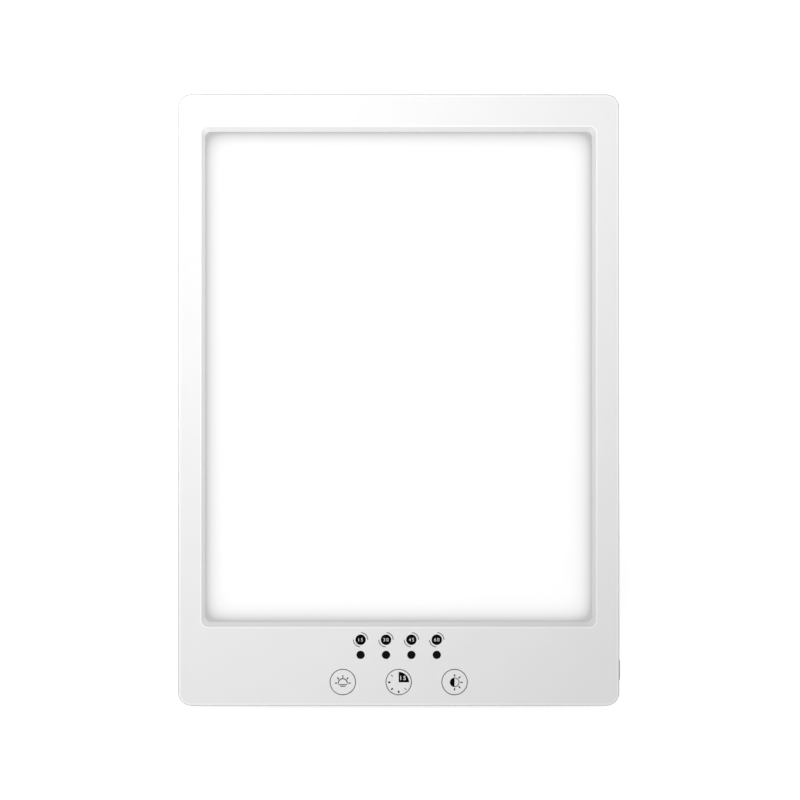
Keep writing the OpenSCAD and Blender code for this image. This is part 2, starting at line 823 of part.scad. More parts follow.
// Side view of the leg, in (y, z): a flat slab whose heel is cut to meet the pocket's floor when
// open, and whose foot end is cut level with the table
module leg_side(end_y) {
  floor_in = pocket_z - stop_gap - hinge_z;
  heel_y = (floor_in - leg_t / 2 * cos(leg_open)) / sin(leg_open);
  heel_z = (floor_in - heel_l * sin(leg_open)) / cos(leg_open);
  polygon([
    [end_y - leg_t / 2 * tan(leg_tip), -leg_t / 2], [heel_l, -leg_t / 2], [heel_l, heel_z],
    [heel_y, leg_t / 2], [end_y + leg_t / 2 * tan(leg_tip), leg_t / 2],
  ]);
}

module leg_slab(end_y) {
  intersection() {
    translate([0, 0, -leg_t]) linear_extrude(2 * leg_t) leg_outline(heel_l);
    rotate([90, 0, 90]) linear_extrude(2 * leg_w, center = true) leg_side(end_y);
    rotate([90, 0, 0]) linear_extrude(4 * leg_l, center = true)
      rounded_rect(leg_w, leg_t, leg_edge_r);
  }
}

module kickstand_leg() in_use() at_hinge() color("whitesmoke") difference() {
  leg_slab(-leg_l + pad_l);
  // lightening bays between the ribs, open towards the housing
  for (i = [0:leg_bays_x - 1], j = [0:leg_bays_y - 1]) translate([
    -leg_w / 2 + leg_rim + i * (bay_w + leg_rib),
    -hinge_block - (j + 1) * bay_h - j * leg_rib, leg_skin - leg_t / 2,
  ]) cube([bay_w, bay_h, leg_t]);
  both_sides() translate([leg_w / 2 - pin_in - pilot_end, 0, 0]) rotate([0, 90, 0])
    cylinder(r = pin_r + pin_gap, h = pin_in + 2);
  pad_groove(pad_tongue_gap);
}

// Groove in the leg's end for the pad's tongue, and with no room the tongue
module pad_groove(room) {
  root_y = -leg_l + pad_l - pad_tongue_root;
  translate([-pad_tongue_w / 2 - room, root_y, -pad_tongue_t / 2 - room])
    cube([pad_tongue_w + 2 * room, pad_tongue_l + pad_tongue_root + room,
      pad_tongue_t + 2 * room]);
}

module leg_foot_pad() in_use() at_hinge() color("dimgray") {
  joint_y = -leg_l + pad_l;
  slant = leg_t * tan(leg_tip);
  difference() {
    leg_slab(-leg_l);
    rotate([90, 0, 90]) linear_extrude(2 * leg_w, center = true) polygon([
      [joint_y - slant, -leg_t], [joint_y + slant, leg_t],
      [2 * heel_l, leg_t], [2 * heel_l, -leg_t],
    ]);
  }
  pad_groove(0);
}

front_bezel();
diffuser_plate();
diffuser_gasket();
diffusion_film();
reflector_tray();
led_board();
leds();
led_board_screws();
rear_cover();
case_screws();
rubber_feet();
control_board();
control_board_screws();
touch_pads();
indicator_lenses();
indicator_leds();
indicator_shroud();
controller_chip();
driver_inductor();
driver_capacitors();
power_switch();
switch_plunger();
power_button();
dc_inlet();
dc_inlet_pin();
lead_socket();
lead_plug();
led_lead_positive();
led_lead_negative();
hinge_pins();
hinge_washers();
kickstand_leg();
leg_foot_pad();
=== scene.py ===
"""Dresses a packed light therapy lamp: its shells, prints, keys, leg and finishes."""

import json
import math

import bmesh
import bpy
from bpy.props import FloatProperty, FloatVectorProperty, PointerProperty
from mathutils import Matrix, Vector


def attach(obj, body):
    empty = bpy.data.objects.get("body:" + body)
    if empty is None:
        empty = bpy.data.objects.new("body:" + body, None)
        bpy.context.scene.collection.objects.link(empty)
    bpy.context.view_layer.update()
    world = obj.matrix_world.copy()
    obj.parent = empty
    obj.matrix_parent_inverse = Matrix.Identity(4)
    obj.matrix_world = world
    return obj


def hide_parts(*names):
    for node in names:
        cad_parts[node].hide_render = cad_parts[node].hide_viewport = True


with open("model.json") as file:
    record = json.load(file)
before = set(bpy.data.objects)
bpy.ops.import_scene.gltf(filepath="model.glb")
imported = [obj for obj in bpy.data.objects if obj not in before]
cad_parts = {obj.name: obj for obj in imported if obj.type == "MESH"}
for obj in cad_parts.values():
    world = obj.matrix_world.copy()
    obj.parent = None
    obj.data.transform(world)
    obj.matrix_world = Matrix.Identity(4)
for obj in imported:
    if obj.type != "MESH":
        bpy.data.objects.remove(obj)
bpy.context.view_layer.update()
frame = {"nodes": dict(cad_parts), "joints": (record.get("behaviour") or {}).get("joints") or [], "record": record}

bl_info = {
    "name": "Light Therapy Lamp",
    "version": (1, 0, 0),
    "blender": (4, 5, 0),
    "location": "3D View > Sidebar > Lamp",
    "description": "Builds the shells, prints and finishes of a tablet-shaped light therapy lamp",
    "category": "Object",
}

MM = 0.001
JOINTS = {joint["name"]: joint for joint in frame["joints"]}
MOUNTS = {mount["name"]: mount for mount in frame["record"]["mounts"]}

# -------- places from the frame

# The lamp is described lying face up on a bench: x across the face, y up the face, z out of it
# from the rear (0). BENCH takes a bench point to its place on the leaning lamp.
OUT_OF_FACE = -Vector(MOUNTS["inlet_pin"]["axis"]).normalized()
UP_FACE = Vector((0, OUT_OF_FACE.z, -OUT_OF_FACE.y))
HINGE_ON_BENCH = Vector((0, 130 * MM, 2.3 * MM))
HINGE = Vector(JOINTS["leg_hinge"]["pos_m"])
BENCH_ORIGIN = HINGE - HINGE_ON_BENCH.y * UP_FACE - HINGE_ON_BENCH.z * OUT_OF_FACE
BENCH = Matrix.Translation(BENCH_ORIGIN) @ Matrix((
    (1, 0, 0), (0, UP_FACE.y, OUT_OF_FACE.y), (0, UP_FACE.z, OUT_OF_FACE.z),
)).to_4x4()
LEAN = math.atan2(UP_FACE.y, UP_FACE.z)

# The open leg's own frame: the hinge axis at its origin, and the leg along -y
LEG_OPEN = -math.radians(JOINTS["leg_hinge"]["range_deg"][0])
LEG = BENCH @ Matrix.Translation(HINGE_ON_BENCH) @ Matrix.Rotation(LEG_OPEN, 4, "X")
LEG_TIP = LEG_OPEN - LEAN
LEG_LENGTH = HINGE.z / math.cos(LEG_TIP)


def metres(name, description, millimetres):
    """A length that a user can change, given in millimetres and kept in metres."""
    return FloatProperty(
        name=name, description=description, default=millimetres * MM, min=0, unit="LENGTH",
        precision=5,
    )


def colour(name, description, rgb):
    """A colour that a user can change."""
    return FloatVectorProperty(
        name=name, description=description, default=rgb, min=0, max=1, subtype="COLOR",
    )


class LampSizes(bpy.types.PropertyGroup):
    """Real sizes of the lamp's pieces, measured on the bench."""

    face_w: metres("Face width", "Width of the face", 166)
    face_h: metres("Face height", "Height of the face", 230)
    body_t: metres("Thickness", "From the rear face to the front face", 20)
    corner_r: metres("Corner radius", "Corner radius of the face", 5)
    front_edge_r: metres("Front edge radius", "Radius of the front edge", 0.8)
    rear_edge_r: metres("Rear edge radius", "Radius of the rear edge", 1.5)
    wall: metres("Wall", "Thickness of the side walls", 2)
    split_z: metres("Seam height", "Height of the seam above the rear face", 13.5)
    bevel_z: metres("Bevel height", "Where the tapered flank starts", 7.5)
    seam: metres("Seam", "Broken edge along the seam", 0.3)
    window_w: metres("Window width", "Width of the lit window", 145.4)
    window_h: metres("Window height", "Height of the lit window", 184.2)
    window_y: metres("Window bottom", "Window's bottom edge above the lamp's", 31.6)
    window_r: metres("Window radius", "Corner radius of the window", 2)
    lip_side: metres("Side lip", "Width of the sloped lip along the sides", 1.5)
    lip_end: metres("End lip", "Width of the sloped lip at the top and bottom", 1.9)
    lip_drop: metres("Lip drop", "How far the lip drops below the face", 1.6)
    key_y: metres("Key height", "Touch keys above the bottom edge", 9)
    key_pitch: metres("Key pitch", "Distance between touch keys", 21)
    key_r: metres("Key radius", "Radius of a touch key's ring", 4.78)
    lamp_y: metres("Timer lamp height", "Timer lamps above the bottom edge", 19.2)
    lamp_pitch: metres("Timer lamp pitch", "Distance between timer lamps", 9.54)
    lamp_r: metres("Timer lamp radius", "Radius of a timer lamp's lens", 1.5)
    disc_y: metres("Number height", "Number discs above the bottom edge", 24.9)
    disc_r: metres("Number disc radius", "Radius of a number disc", 1.97)
    key_side_y: metres("Side key height", "Side key's middle above the bottom edge", 13)
    key_side_l: metres("Side key length", "Length of the side key", 8.1)
    key_side_t: metres("Side key thickness", "Thickness of the side key", 3.6)
    key_side_out: metres("Side key stand", "How far the side key stands proud", 0.65)
    leg_w: metres("Leg width", "Width of the folding leg", 54)
    leg_t: metres("Leg thickness", "Thickness of the folding leg", 4)
    leg_corner_r: metres("Leg corner radius", "Corner radius of the leg's foot", 6)
    pad_l: metres("Leg pad length", "Length of the leg's rubber end", 3)
    ink: metres("Ink", "Thickness of the printed ink", 0.03)


class LampColours(bpy.types.PropertyGroup):
    """Colours of the lamp's finishes."""

    bezel: colour("Bezel", "Glossy white front", (0.86, 0.86, 0.862))
    cover: colour("Cover", "Finely textured white rear", (0.8, 0.8, 0.805))
    opal: colour("Opal", "Lit opal plate", (0.2, 0.2, 0.2))
    ink: colour("Ink", "Black print", (0.002, 0.002, 0.002))
    line_ink: colour("Line ink", "Thin dark grey lines", (0.05, 0.05, 0.052))
    white_ink: colour("White ink", "White digits", (0.85, 0.85, 0.85))
    side_key: colour("Side key", "Grey side key", (0.33, 0.33, 0.337))
    rubber: colour("Rubber", "Grey rubber feet", (0.1, 0.1, 0.103))
    floor: colour("Floor", "Pale floor", (0.72, 0.72, 0.72))


def sizes():
    return bpy.context.scene.lamp_sizes


def colours():
    return bpy.context.scene.lamp_colours


def in_mm(*pairs):
    """Pairs given in millimetres, as pairs in metres."""
    return [(a * MM, b * MM) for a, b in pairs]


# -------- mesh helpers

SAME_POINT = 0.0001 * MM
# What a cut leaves behind: points that belong together, and edges too short to keep
WELD = 0.004 * MM
SLIVER = 0.002 * MM
# Faces that turn by less than this are one flat, and a flat is broad if it is larger than
# BROAD strips as wide as its border
FLAT = math.cos(math.radians(0.2))
BROAD = 3
BORDER = 0.2 * MM
SMALLEST_R = 0.01 * MM
# How sharp an angle stays an edge, and how much broad faces count in the shading
SHARP = math.radians(35)
FLAT_WEIGHT = 80


def finish_mesh(name, bm, place=BENCH):
    """Turns bench geometry into an object in the lamp's frame."""
    bmesh.ops.remove_doubles(bm, verts=bm.verts, dist=SAME_POINT)
    bmesh.ops.recalc_face_normals(bm, faces=bm.faces)
    mesh = bpy.data.meshes.new(name)
    bm.to_mesh(mesh)
    bm.free()
    mesh.transform(place)
    piece = bpy.data.objects.new(name, mesh)
    bpy.context.scene.collection.objects.link(piece)
    return piece


def apply_modifiers(piece):
    """Replaces a piece's mesh by the result of its modifiers."""
    graph = bpy.context.evaluated_depsgraph_get()
    mesh = bpy.data.meshes.new_from_object(piece.evaluated_get(graph))
    piece.modifiers.clear()
    old = piece.data
    piece.data = mesh
    bpy.data.meshes.remove(old)
    mesh.name = piece.name


def flat_round(face, done):
    """The flat that a face belongs to, and the length of its rim."""
    flat = [face]
    done.add(face)
    for part in flat:
        for edge in part.edges:
            for other in edge.link_faces:
                if other not in done and other.normal.dot(face.normal) > FLAT:
                    done.add(other)
                    flat.append(other)
    inside = set(flat)
    rim = sum(edge.calc_length() for part in flat for edge in part.edges
              if any(other not in inside for other in edge.link_faces))
    return flat, rim


def brace_flats(piece):
    """Gives each broad flat a narrow border, so that its edges shade in the border alone."""
    bm = bmesh.new()
    bm.from_mesh(piece.data)
    bmesh.ops.triangulate(bm, faces=[f for f in bm.faces if len(f.verts) > 4],
                          ngon_method="EAR_CLIP")
    bmesh.ops.remove_doubles(bm, verts=bm.verts, dist=WELD)
    bmesh.ops.dissolve_degenerate(bm, edges=bm.edges, dist=SLIVER)
    bm.normal_update()
    done = set()
    flats = []
    for face in bm.faces:
        if face not in done:
            flat, rim = flat_round(face, done)
            if sum(part.calc_area() for part in flat) > BROAD * BORDER * rim:
                flats.append(flat)
    for flat in flats:
        bmesh.ops.inset_region(bm, faces=flat, thickness=BORDER, use_even_offset=True,
                               use_boundary=True)
    bm.to_mesh(piece.data)
    bm.free()


def polish(piece):
    """Shades a piece smooth up to the sharp angle, with its flats kept flat."""
    piece.data.shade_smooth()
    piece.data.set_sharp_from_angle(angle=SHARP)
    normals = piece.modifiers.new("flats", "WEIGHTED_NORMAL")
    normals.keep_sharp = True
    normals.weight = FLAT_WEIGHT
    apply_modifiers(piece)


def rounded_loop(w, h, radii, z, centre, steps):
    """A rounded rectangle, anticlockwise, with radii for its top and its bottom corners."""
    points = []
    for k, (sx, sy) in enumerate(((1, 1), (-1, 1), (-1, -1), (1, -1))):
        r = max(radii[k // 2], SMALLEST_R)
        for i in range(steps + 1):
            a = math.radians(90) * (k + i / steps)
            points.append(Vector((
                centre[0] + sx * (w / 2 - r) + r * math.cos(a),
                centre[1] + sy * (h / 2 - r) + r * math.sin(a), z,
            )))
    return points


def stadium_loop(l, w, z, centre=(0, 0), turn=0, steps=10):
    """A long outline with round ends, turned by an angle in degrees."""
    points = []
    spin = Matrix.Rotation(math.radians(turn), 2)
    for end in (1, -1):
        for i in range(steps + 1):
            a = math.radians(-90 + 180 * i / steps) + (0 if end > 0 else math.pi)
            p = spin @ Vector((end * (l - w) / 2 + w / 2 * math.cos(a), w / 2 * math.sin(a)))
            points.append(Vector((centre[0] + p.x, centre[1] + p.y, z)))
    return points


def circle_loop(r, z, centre=(0, 0), steps=32):
    return [
        Vector((centre[0] + r * math.cos(2 * math.pi * i / steps),
                centre[1] + r * math.sin(2 * math.pi * i / steps), z))
        for i in range(steps)
    ]


def arc_profile(centre, r, start, end, steps=6):
    """Points of an arc in a profile, angles in degrees."""
    angles = [math.radians(start + (end - start) * i / steps) for i in range(steps + 1)]
    return [(centre[0] + r * math.cos(a), centre[1] + r * math.sin(a)) for a in angles]


def bend_profile(a, corner, b, steps=5):
    """Points of a smooth bend from a to b that a corner pulls."""
    points = []
    for i in range(steps + 1):
        t = i / steps
        points.append(tuple(
            (1 - t) ** 2 * a[k] + 2 * t * (1 - t) * corner[k] + t ** 2 * b[k] for k in (0, 1)
        ))
    return points


def loft(bm, loops, closed=False):
    """Skins loops that have the same number of points, and caps the ends of an open row."""
    rings = [[bm.verts.new(point) for point in loop] for loop in loops]
    pairs = list(zip(rings, rings[1:]))
    if closed:
        pairs.append((rings[-1], rings[0]))
    for a, b in pairs:
        for i in range(len(a)):
            j = (i + 1) % len(a)
            bm.faces.new((a[i], a[j], b[j], b[i]))
    if not closed:
        bm.faces.new(list(reversed(rings[0])))
        bm.faces.new(rings[-1])


def lofted(name, loops, place=BENCH, closed=False):
    """An object of its own, skinned over loops."""
    bm = bmesh.new()
    loft(bm, loops, closed)
    return finish_mesh(name, bm, place)


def turned(bm, profile, centre, steps):
    """A round solid: its profile is (level, radius)."""
    loft(bm, [circle_loop(r, z, centre, steps) for z, r in profile])


def long_round(bm, l, w, profile, centre=(0, 0), turn=0, place=Matrix.Identity(4), steps=10):
    """A solid with round ends: its profile is (level, growth)."""
    loft(bm, [
        [place @ p for p in stadium_loop(l + 2 * grow, w + 2 * grow, z, centre, turn, steps)]
        for z, grow in profile
    ])


def carve(piece, cutter, operation="DIFFERENCE"):
    """Cuts a piece with a closed cutter, and removes the cutter."""
    boolean = piece.modifiers.new("carve", "BOOLEAN")
    boolean.operation = operation
    boolean.solver = "MANIFOLD"
    boolean.object = cutter
    apply_modifiers(piece)
    bpy.data.objects.remove(cutter)


def flared(grow):
    """Levels of a cutter from outside the rear face inwards, flared where it breaks through."""
    return [(-0.5 * MM, grow), (0, grow), (0.06 * MM, 0.4 * grow), (0.2 * MM, 0.1 * grow),
            (grow + 0.1 * MM, 0)]


def dress(piece, body, material):
    """Puts a piece on its body and its material."""
    brace_flats(piece)
    polish(piece)
    piece.data.materials.clear()
    piece.data.materials.append(material)
    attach(piece, body)
    return piece


def finish_node(name, material):
    """Gives a node of the frame its material."""
    for slot in frame["nodes"][name].material_slots:
        slot.material = material


# -------- shader helpers

def feed(tree, source, socket):
    """Links the output of a node to a socket, or puts a plain value in it."""
    if isinstance(source, bpy.types.NodeSocket):
        tree.links.new(source, socket)
    else:
        socket.default_value = source


def add_node(tree, kind, feeds=(), **settings):
    """A node with its settings, and what feeds its inputs: by label, or in their order."""
    node = tree.nodes.new(kind)
    for key, value in settings.items():
        setattr(node, key, value)
    for label, source in feeds.items() if isinstance(feeds, dict) else enumerate(feeds):
        feed(tree, source, node.inputs[label])
    return node


def calc(tree, operation, *feeds, **settings):
    """The result of one sum."""
    return add_node(tree, "ShaderNodeMath", feeds, operation=operation, **settings).outputs[0]


def vector_calc(tree, operation, *feeds):
    """The result of one sum with vectors: a number for a length or a dot product."""
    node = add_node(tree, "ShaderNodeVectorMath", feeds, operation=operation)
    return node.outputs["Value" if operation in ("LENGTH", "DOT_PRODUCT") else "Vector"]


def scaled(tree, source, factor):
    """A colour times a factor."""
    feeds = {"Vector": source, "Scale": factor}
    return add_node(tree, "ShaderNodeVectorMath", feeds, operation="SCALE").outputs["Vector"]


def remap(tree, source, before, after, **settings):
    """Carries a value from one range to another, and holds it within that one."""
    feeds = {"Value": source, "From Min": before[0], "From Max": before[1],
             "To Min": after[0], "To Max": after[1]}
    return add_node(tree, "ShaderNodeMapRange", feeds, clamp=True, **settings).outputs["Result"]


def mixed(tree, factor, first, second):
    """A colour between two, given as red, green and blue."""
    feeds = {"Factor": factor, "A": (*first, 1), "B": (*second, 1)}
    return add_node(tree, "ShaderNodeMix", feeds, data_type="RGBA").outputs["Result"]


def object_place(tree):
    return add_node(tree, "ShaderNodeTexCoord").outputs["Object"]


def new_group(name, inputs, outputs):
    """A node group with named sockets: an input is (name, type, default)."""
    group = bpy.data.node_groups.new(name, "ShaderNodeTree")
    for label, kind, default in inputs:
        socket = group.interface.new_socket(name=label, in_out="INPUT", socket_type=kind)
        socket.default_value = default
    for label, kind in outputs:
        group.interface.new_socket(name=label, in_out="OUTPUT", socket_type=kind)
    return group, group.nodes.new("NodeGroupInput"), group.nodes.new("NodeGroupOutput")


def use_group(tree, group, feeds=()):
    return add_node(tree, "ShaderNodeGroup", feeds, node_tree=group).outputs


# The middle part of a noise's range, where nearly all of it lies
NOISE_RANGE = (0.3, 0.7)
# How far a surface's pointedness strays from that of a flat before it counts as an edge
POINTED = (0.46, 0.54)
# An odd power, so that broad flats keep one tone and only real edges and crevices change: edges paler, partly wear
# and partly painted highlight, and crevices darker as painted shade
EDGE_POWER = 5
MOTTLE_SCALE = 60
BROAD_SCALE = 25


def grain_group():
    """Fine moulded grain: a height, and a mask of broad soft unevenness."""
    name = "Moulded Grain"
    if name in bpy.data.node_groups:
        return bpy.data.node_groups[name]
    group, given, made = new_group(
        name, [("Scale", "NodeSocketFloat", 3000)],
        [("Height", "NodeSocketFloat"), ("Broad", "NodeSocketFloat")],
    )
    place = object_place(group)
    fine = add_node(group, "ShaderNodeTexNoise", {
        "Vector": place, "Scale": given.outputs["Scale"], "Detail": 3, "Roughness": 0.6})
    broad = add_node(group, "ShaderNodeTexNoise", {
        "Vector": place, "Scale": BROAD_SCALE, "Detail": 4})
    feed(group, fine.outputs["Fac"], made.inputs["Height"])
    feed(group, broad.outputs["Fac"], made.inputs["Broad"])
    return group


def tone_group():
    """Mottles a colour a little, paints shade into crevices, and makes edges paler: partly wear, partly a painted
    highlight.
    """
    name = "Handled Tone"
    if name in bpy.data.node_groups:
        return bpy.data.node_groups[name]
    group, given, made = new_group(
        name,
        [("Color", "NodeSocketColor", (0.8, 0.8, 0.8, 1)), ("Mottle", "NodeSocketFloat", 0.03),
         ("Edge", "NodeSocketFloat", 0.1)],
        [("Color", "NodeSocketColor")],
    )
    noise = add_node(group, "ShaderNodeTexNoise", {
        "Vector": object_place(group), "Scale": MOTTLE_SCALE, "Detail": 6})
    spread = remap(group, noise.outputs["Fac"], NOISE_RANGE, (-1, 1))
    mottle = calc(group, "MULTIPLY", spread, given.outputs["Mottle"])
    pointed = add_node(group, "ShaderNodeNewGeometry").outputs["Pointiness"]
    # Convex edges turn paler, partly wear and partly painted highlight; crevices turn darker, as painted shade
    edge = calc(group, "POWER", remap(group, pointed, POINTED, (-1, 1)), EDGE_POWER)
    change = calc(group, "MULTIPLY_ADD", edge, given.outputs["Edge"], mottle)
    gain = calc(group, "ADD", change, 1)
    feed(group, scaled(group, given.outputs["Color"], gain), made.inputs["Color"])
    return group


def bench_group():
    """Gives a surface point's place on the bench, in millimetres."""
    name = "Place On The Face"
    if name in bpy.data.node_groups:
        return bpy.data.node_groups[name]
    group, _, made = new_group(
        name, [], [("Across", "NodeSocketFloat"), ("Up", "NodeSocketFloat")],
    )
    offset = vector_calc(group, "SUBTRACT", object_place(group), BENCH_ORIGIN)
    for label, direction in (("Across", Vector((1, 0, 0))), ("Up", UP_FACE)):
        feed(group, vector_calc(group, "DOT_PRODUCT", offset, direction / MM), made.inputs[label])
    return group


def outline_group():
    """How far a surface point lies beyond a rounded outline on the face, in millimetres."""
    name = "Beyond The Outline"
    if name in bpy.data.node_groups:
        return bpy.data.node_groups[name]
    group, given, made = new_group(
        name,
        [("Middle", "NodeSocketVector", (0, 0, 0)), ("Half", "NodeSocketVector", (1, 1, 0)),
         ("Radius", "NodeSocketFloat", 1)],
        [("Distance", "NodeSocketFloat")],
    )
    place = use_group(group, bench_group())
    point = add_node(group, "ShaderNodeCombineXYZ", {"X": place["Across"], "Y": place["Up"]})
    radius = given.outputs["Radius"]
    away = vector_calc(group, "SUBTRACT", point.outputs[0], given.outputs["Middle"])
    past = vector_calc(group, "SUBTRACT", vector_calc(group, "ABSOLUTE", away),
                       given.outputs["Half"])
    corner = vector_calc(group, "MAXIMUM", vector_calc(group, "ADD", past, radius), (0, 0, 0))
    flat = vector_calc(group, "MULTIPLY", corner, (1, 1, 0))
    distance = calc(group, "SUBTRACT", vector_calc(group, "LENGTH", flat), radius)
    feed(group, distance, made.inputs["Distance"])
    return group


def principled(name, **sockets):
    """A material with one Principled shader, whose plain sockets are given."""
    material = bpy.data.materials.new(name)
    material.use_nodes = True
    shader = material.node_tree.nodes["Principled BSDF"]
    for label, value in sockets.items():
        shader.inputs[label.replace("_", " ")].default_value = value
    return material, material.node_tree, shader


def moulded(name, rgb, roughness, grain_scale, grain_depth, mottle=0.02, edge=0.06,
            rough_spread=0.06, **sockets):
    """A moulded, cast or rolled finish: mottled colour, uneven gloss and a fine grain, with paler edges that are
    partly wear and partly painted highlight, and painted shade in crevices.
    """
    if name in bpy.data.materials:
        return bpy.data.materials[name]
    material, tree, shader = principled(name, **sockets)
    tone = use_group(tree, tone_group(), {"Color": (*rgb, 1), "Mottle": mottle, "Edge": edge})
    grain = use_group(tree, grain_group(), {"Scale": grain_scale})
    bump = add_node(tree, "ShaderNodeBump", {
        "Strength": 0.6, "Distance": grain_depth * MM, "Height": grain["Height"]})
    gloss = remap(tree, grain["Broad"], NOISE_RANGE,
                  (roughness - rough_spread, roughness + rough_spread))
    feed(tree, tone["Color"], shader.inputs["Base Color"])
    feed(tree, bump.outputs["Normal"], shader.inputs["Normal"])
    feed(tree, gloss, shader.inputs["Roughness"])
    return material


# -------- finishes

LIP_CORNER_R = 2.5 * MM
# The largest factor of painted light that keeps the white below one
PAINTED_LIGHT_TOP = 1.16
# Painted light on the white, as factors at distances beyond the lip's and the rim's outline, in millimetres: below
# one is painted shade on the sloped lip and the outermost rim, above one a painted highlight on the lip's crest
# and just inside the rim
LIP_PAINTED_LIGHT = ((-0.3, 0.88), (-0.08, 0.88), (0.08, 1.16), (0.3, 1.16), (0.5, 1))
RIM_PAINTED_LIGHT = ((-1.2, 1), (-0.9, 1.06), (-0.7, 1.15), (-0.42, 1.15), (-0.3, 0.77), (0, 0.77))
# The opal plate's light, its light and its share of colour at the edge, and the fade in millimetres: the light's
# dimming is partly the panel's own falloff and partly painted shade of the recess, and the colour's is painted
# shade
OPAL_GLOW = 0.8
OPAL_EDGE_GLOW = 0.44
OPAL_EDGE_PAINTED_SHADE = 0.35
OPAL_FADE = 2.5


def window_middle(size):
    """The middle of the window, across and up the face."""
    return 0, size.window_y + size.window_h / 2


def painted_light_band(tree, source, around, levels):
    """Paints shade and highlight into a colour across an outline: levels are (distance in millimetres, factor)."""
    middle, half, radius = around
    beyond = use_group(tree, outline_group(), {
        "Middle": middle / MM, "Half": half / MM, "Radius": radius / MM})
    start = levels[0][0]
    reach = levels[-1][0] - start
    along = remap(tree, beyond["Distance"], (start, start + reach), (0, 1))
    curve = add_node(tree, "ShaderNodeFloatCurve", {"Value": along})
    points = curve.mapping.curves[0].points
    for _ in levels[2:]:
        points.new(0.5, 0.5)
    for point, (distance, factor) in zip(points, levels):
        point.location = ((distance - start) / reach, factor / PAINTED_LIGHT_TOP)
        point.handle_type = "VECTOR"
    curve.mapping.update()
    return scaled(tree, source, calc(tree, "MULTIPLY", curve.outputs["Value"], PAINTED_LIGHT_TOP))


def gloss_white():
    """Glossy white, with painted shade on the sloped lip and the outermost rim, and painted highlights on the
    lip's crest and just inside the rim.
    """
    name = "gloss_white"
    if name in bpy.data.materials:
        return bpy.data.materials[name]
    size = sizes()
    material = moulded(name, colours().bezel, 0.2, 900, 0.004, mottle=0.006, edge=0.05,
                       rough_spread=0.03, Coat_Weight=0.5, Coat_Roughness=0.08)
    tree = material.node_tree
    base = tree.nodes["Principled BSDF"].inputs["Base Color"]
    lip = (Vector((*window_middle(size), 0)),
           Vector((size.window_w / 2 + size.lip_side, size.window_h / 2 + size.lip_end, 0)),
           LIP_CORNER_R)
    rim = (Vector((0, size.face_h / 2, 0)), Vector((size.face_w / 2, size.face_h / 2, 0)),
           size.corner_r)
    # Painted shade on the sloped lip and a painted highlight on its crest; then painted shade on the outermost rim
    # and a painted highlight just inside it
    tone = painted_light_band(tree, base.links[0].from_socket, lip, LIP_PAINTED_LIGHT)
    feed(tree, painted_light_band(tree, tone, rim, RIM_PAINTED_LIGHT), base)
    return material


PRINT = {"mottle": 0.06, "edge": 0, "Specular_IOR_Level": 0.02}
# The moulded finishes: a colour or the name of one of the lamp's, the roughness, the scale and
# the depth in millimetres of the grain, and what else sets it apart
FINISHES = {
    "textured_white": ("cover", 0.46, 3600, 0.035,
                       {"mottle": 0.012, "edge": 0.05, "rough_spread": 0.05}),
    "soft_rubber": ("rubber", 0.78, 2600, 0.05, {"mottle": 0.1, "edge": 0.25}),
    "grey_key": ("side_key", 0.4, 3200, 0.02, {"mottle": 0.03, "edge": 0.1}),
    "black_ink": ("ink", 0.5, 4000, 0.004, PRINT),
    "line_ink": ("line_ink", 0.5, 4000, 0.004, PRINT),
    "white_ink": ("white_ink", 0.5, 4000, 0.004, PRINT),
    "black_lens": ((0.004, 0.004, 0.005), 0.12, 700, 0.002,
                   {"rough_spread": 0.03, "Specular_IOR_Level": 0.03}),
    "satin_black": ((0.02, 0.02, 0.021), 0.42, 3000, 0.02, {"mottle": 0.1}),
    "zinc_steel": ((0.56, 0.57, 0.59), 0.3, 2200, 0.008,
                   {"mottle": 0.08, "edge": 0.2, "rough_spread": 0.08, "Metallic": 1}),
    "bright_brass": ((0.78, 0.6, 0.3), 0.24, 2400, 0.005,
                     {"mottle": 0.06, "edge": 0.15, "Metallic": 1}),
    "drawn_aluminium": ((0.78, 0.79, 0.8), 0.32, 1800, 0.008, {"mottle": 0.05, "Metallic": 1}),
    "white_mask": ((0.86, 0.87, 0.87), 0.38, 1500, 0.01, {}),
    "solder_mask": ((0.015, 0.13, 0.05), 0.33, 1200, 0.02, {"mottle": 0.15}),
    "yellow_phosphor": ((0.9, 0.72, 0.2), 0.3, 1500, 0.01,
                        {"mottle": 0.05, "Emission_Color": (1, 0.96, 0.85, 1),
                         "Emission_Strength": 0.6}),
    "white_sheet": ((0.92, 0.92, 0.92), 0.5, 1400, 0.01, {"mottle": 0.01}),
    "natural_nylon": ((0.78, 0.74, 0.6), 0.44, 1600, 0.015, {"mottle": 0.05}),
    "closed_foam": ((0.8, 0.8, 0.78), 0.85, 1300, 0.12, {"mottle": 0.08}),
    "dark_foam": ((0.12, 0.12, 0.125), 0.85, 1300, 0.12, {"mottle": 0.08}),
    "red_sleeve": ((0.45, 0.02, 0.02), 0.4, 900, 0.01, {"mottle": 0.06}),
    "black_sleeve": ((0.015, 0.015, 0.016), 0.4, 900, 0.01, {"mottle": 0.06}),
}


def finish(name):
    """One of the moulded finishes."""
    rgb, roughness, grain_scale, grain_depth, extra = FINISHES[name]
    if isinstance(rgb, str):
        rgb = getattr(colours(), rgb)
    return moulded(name, rgb, roughness, grain_scale, grain_depth, **extra)


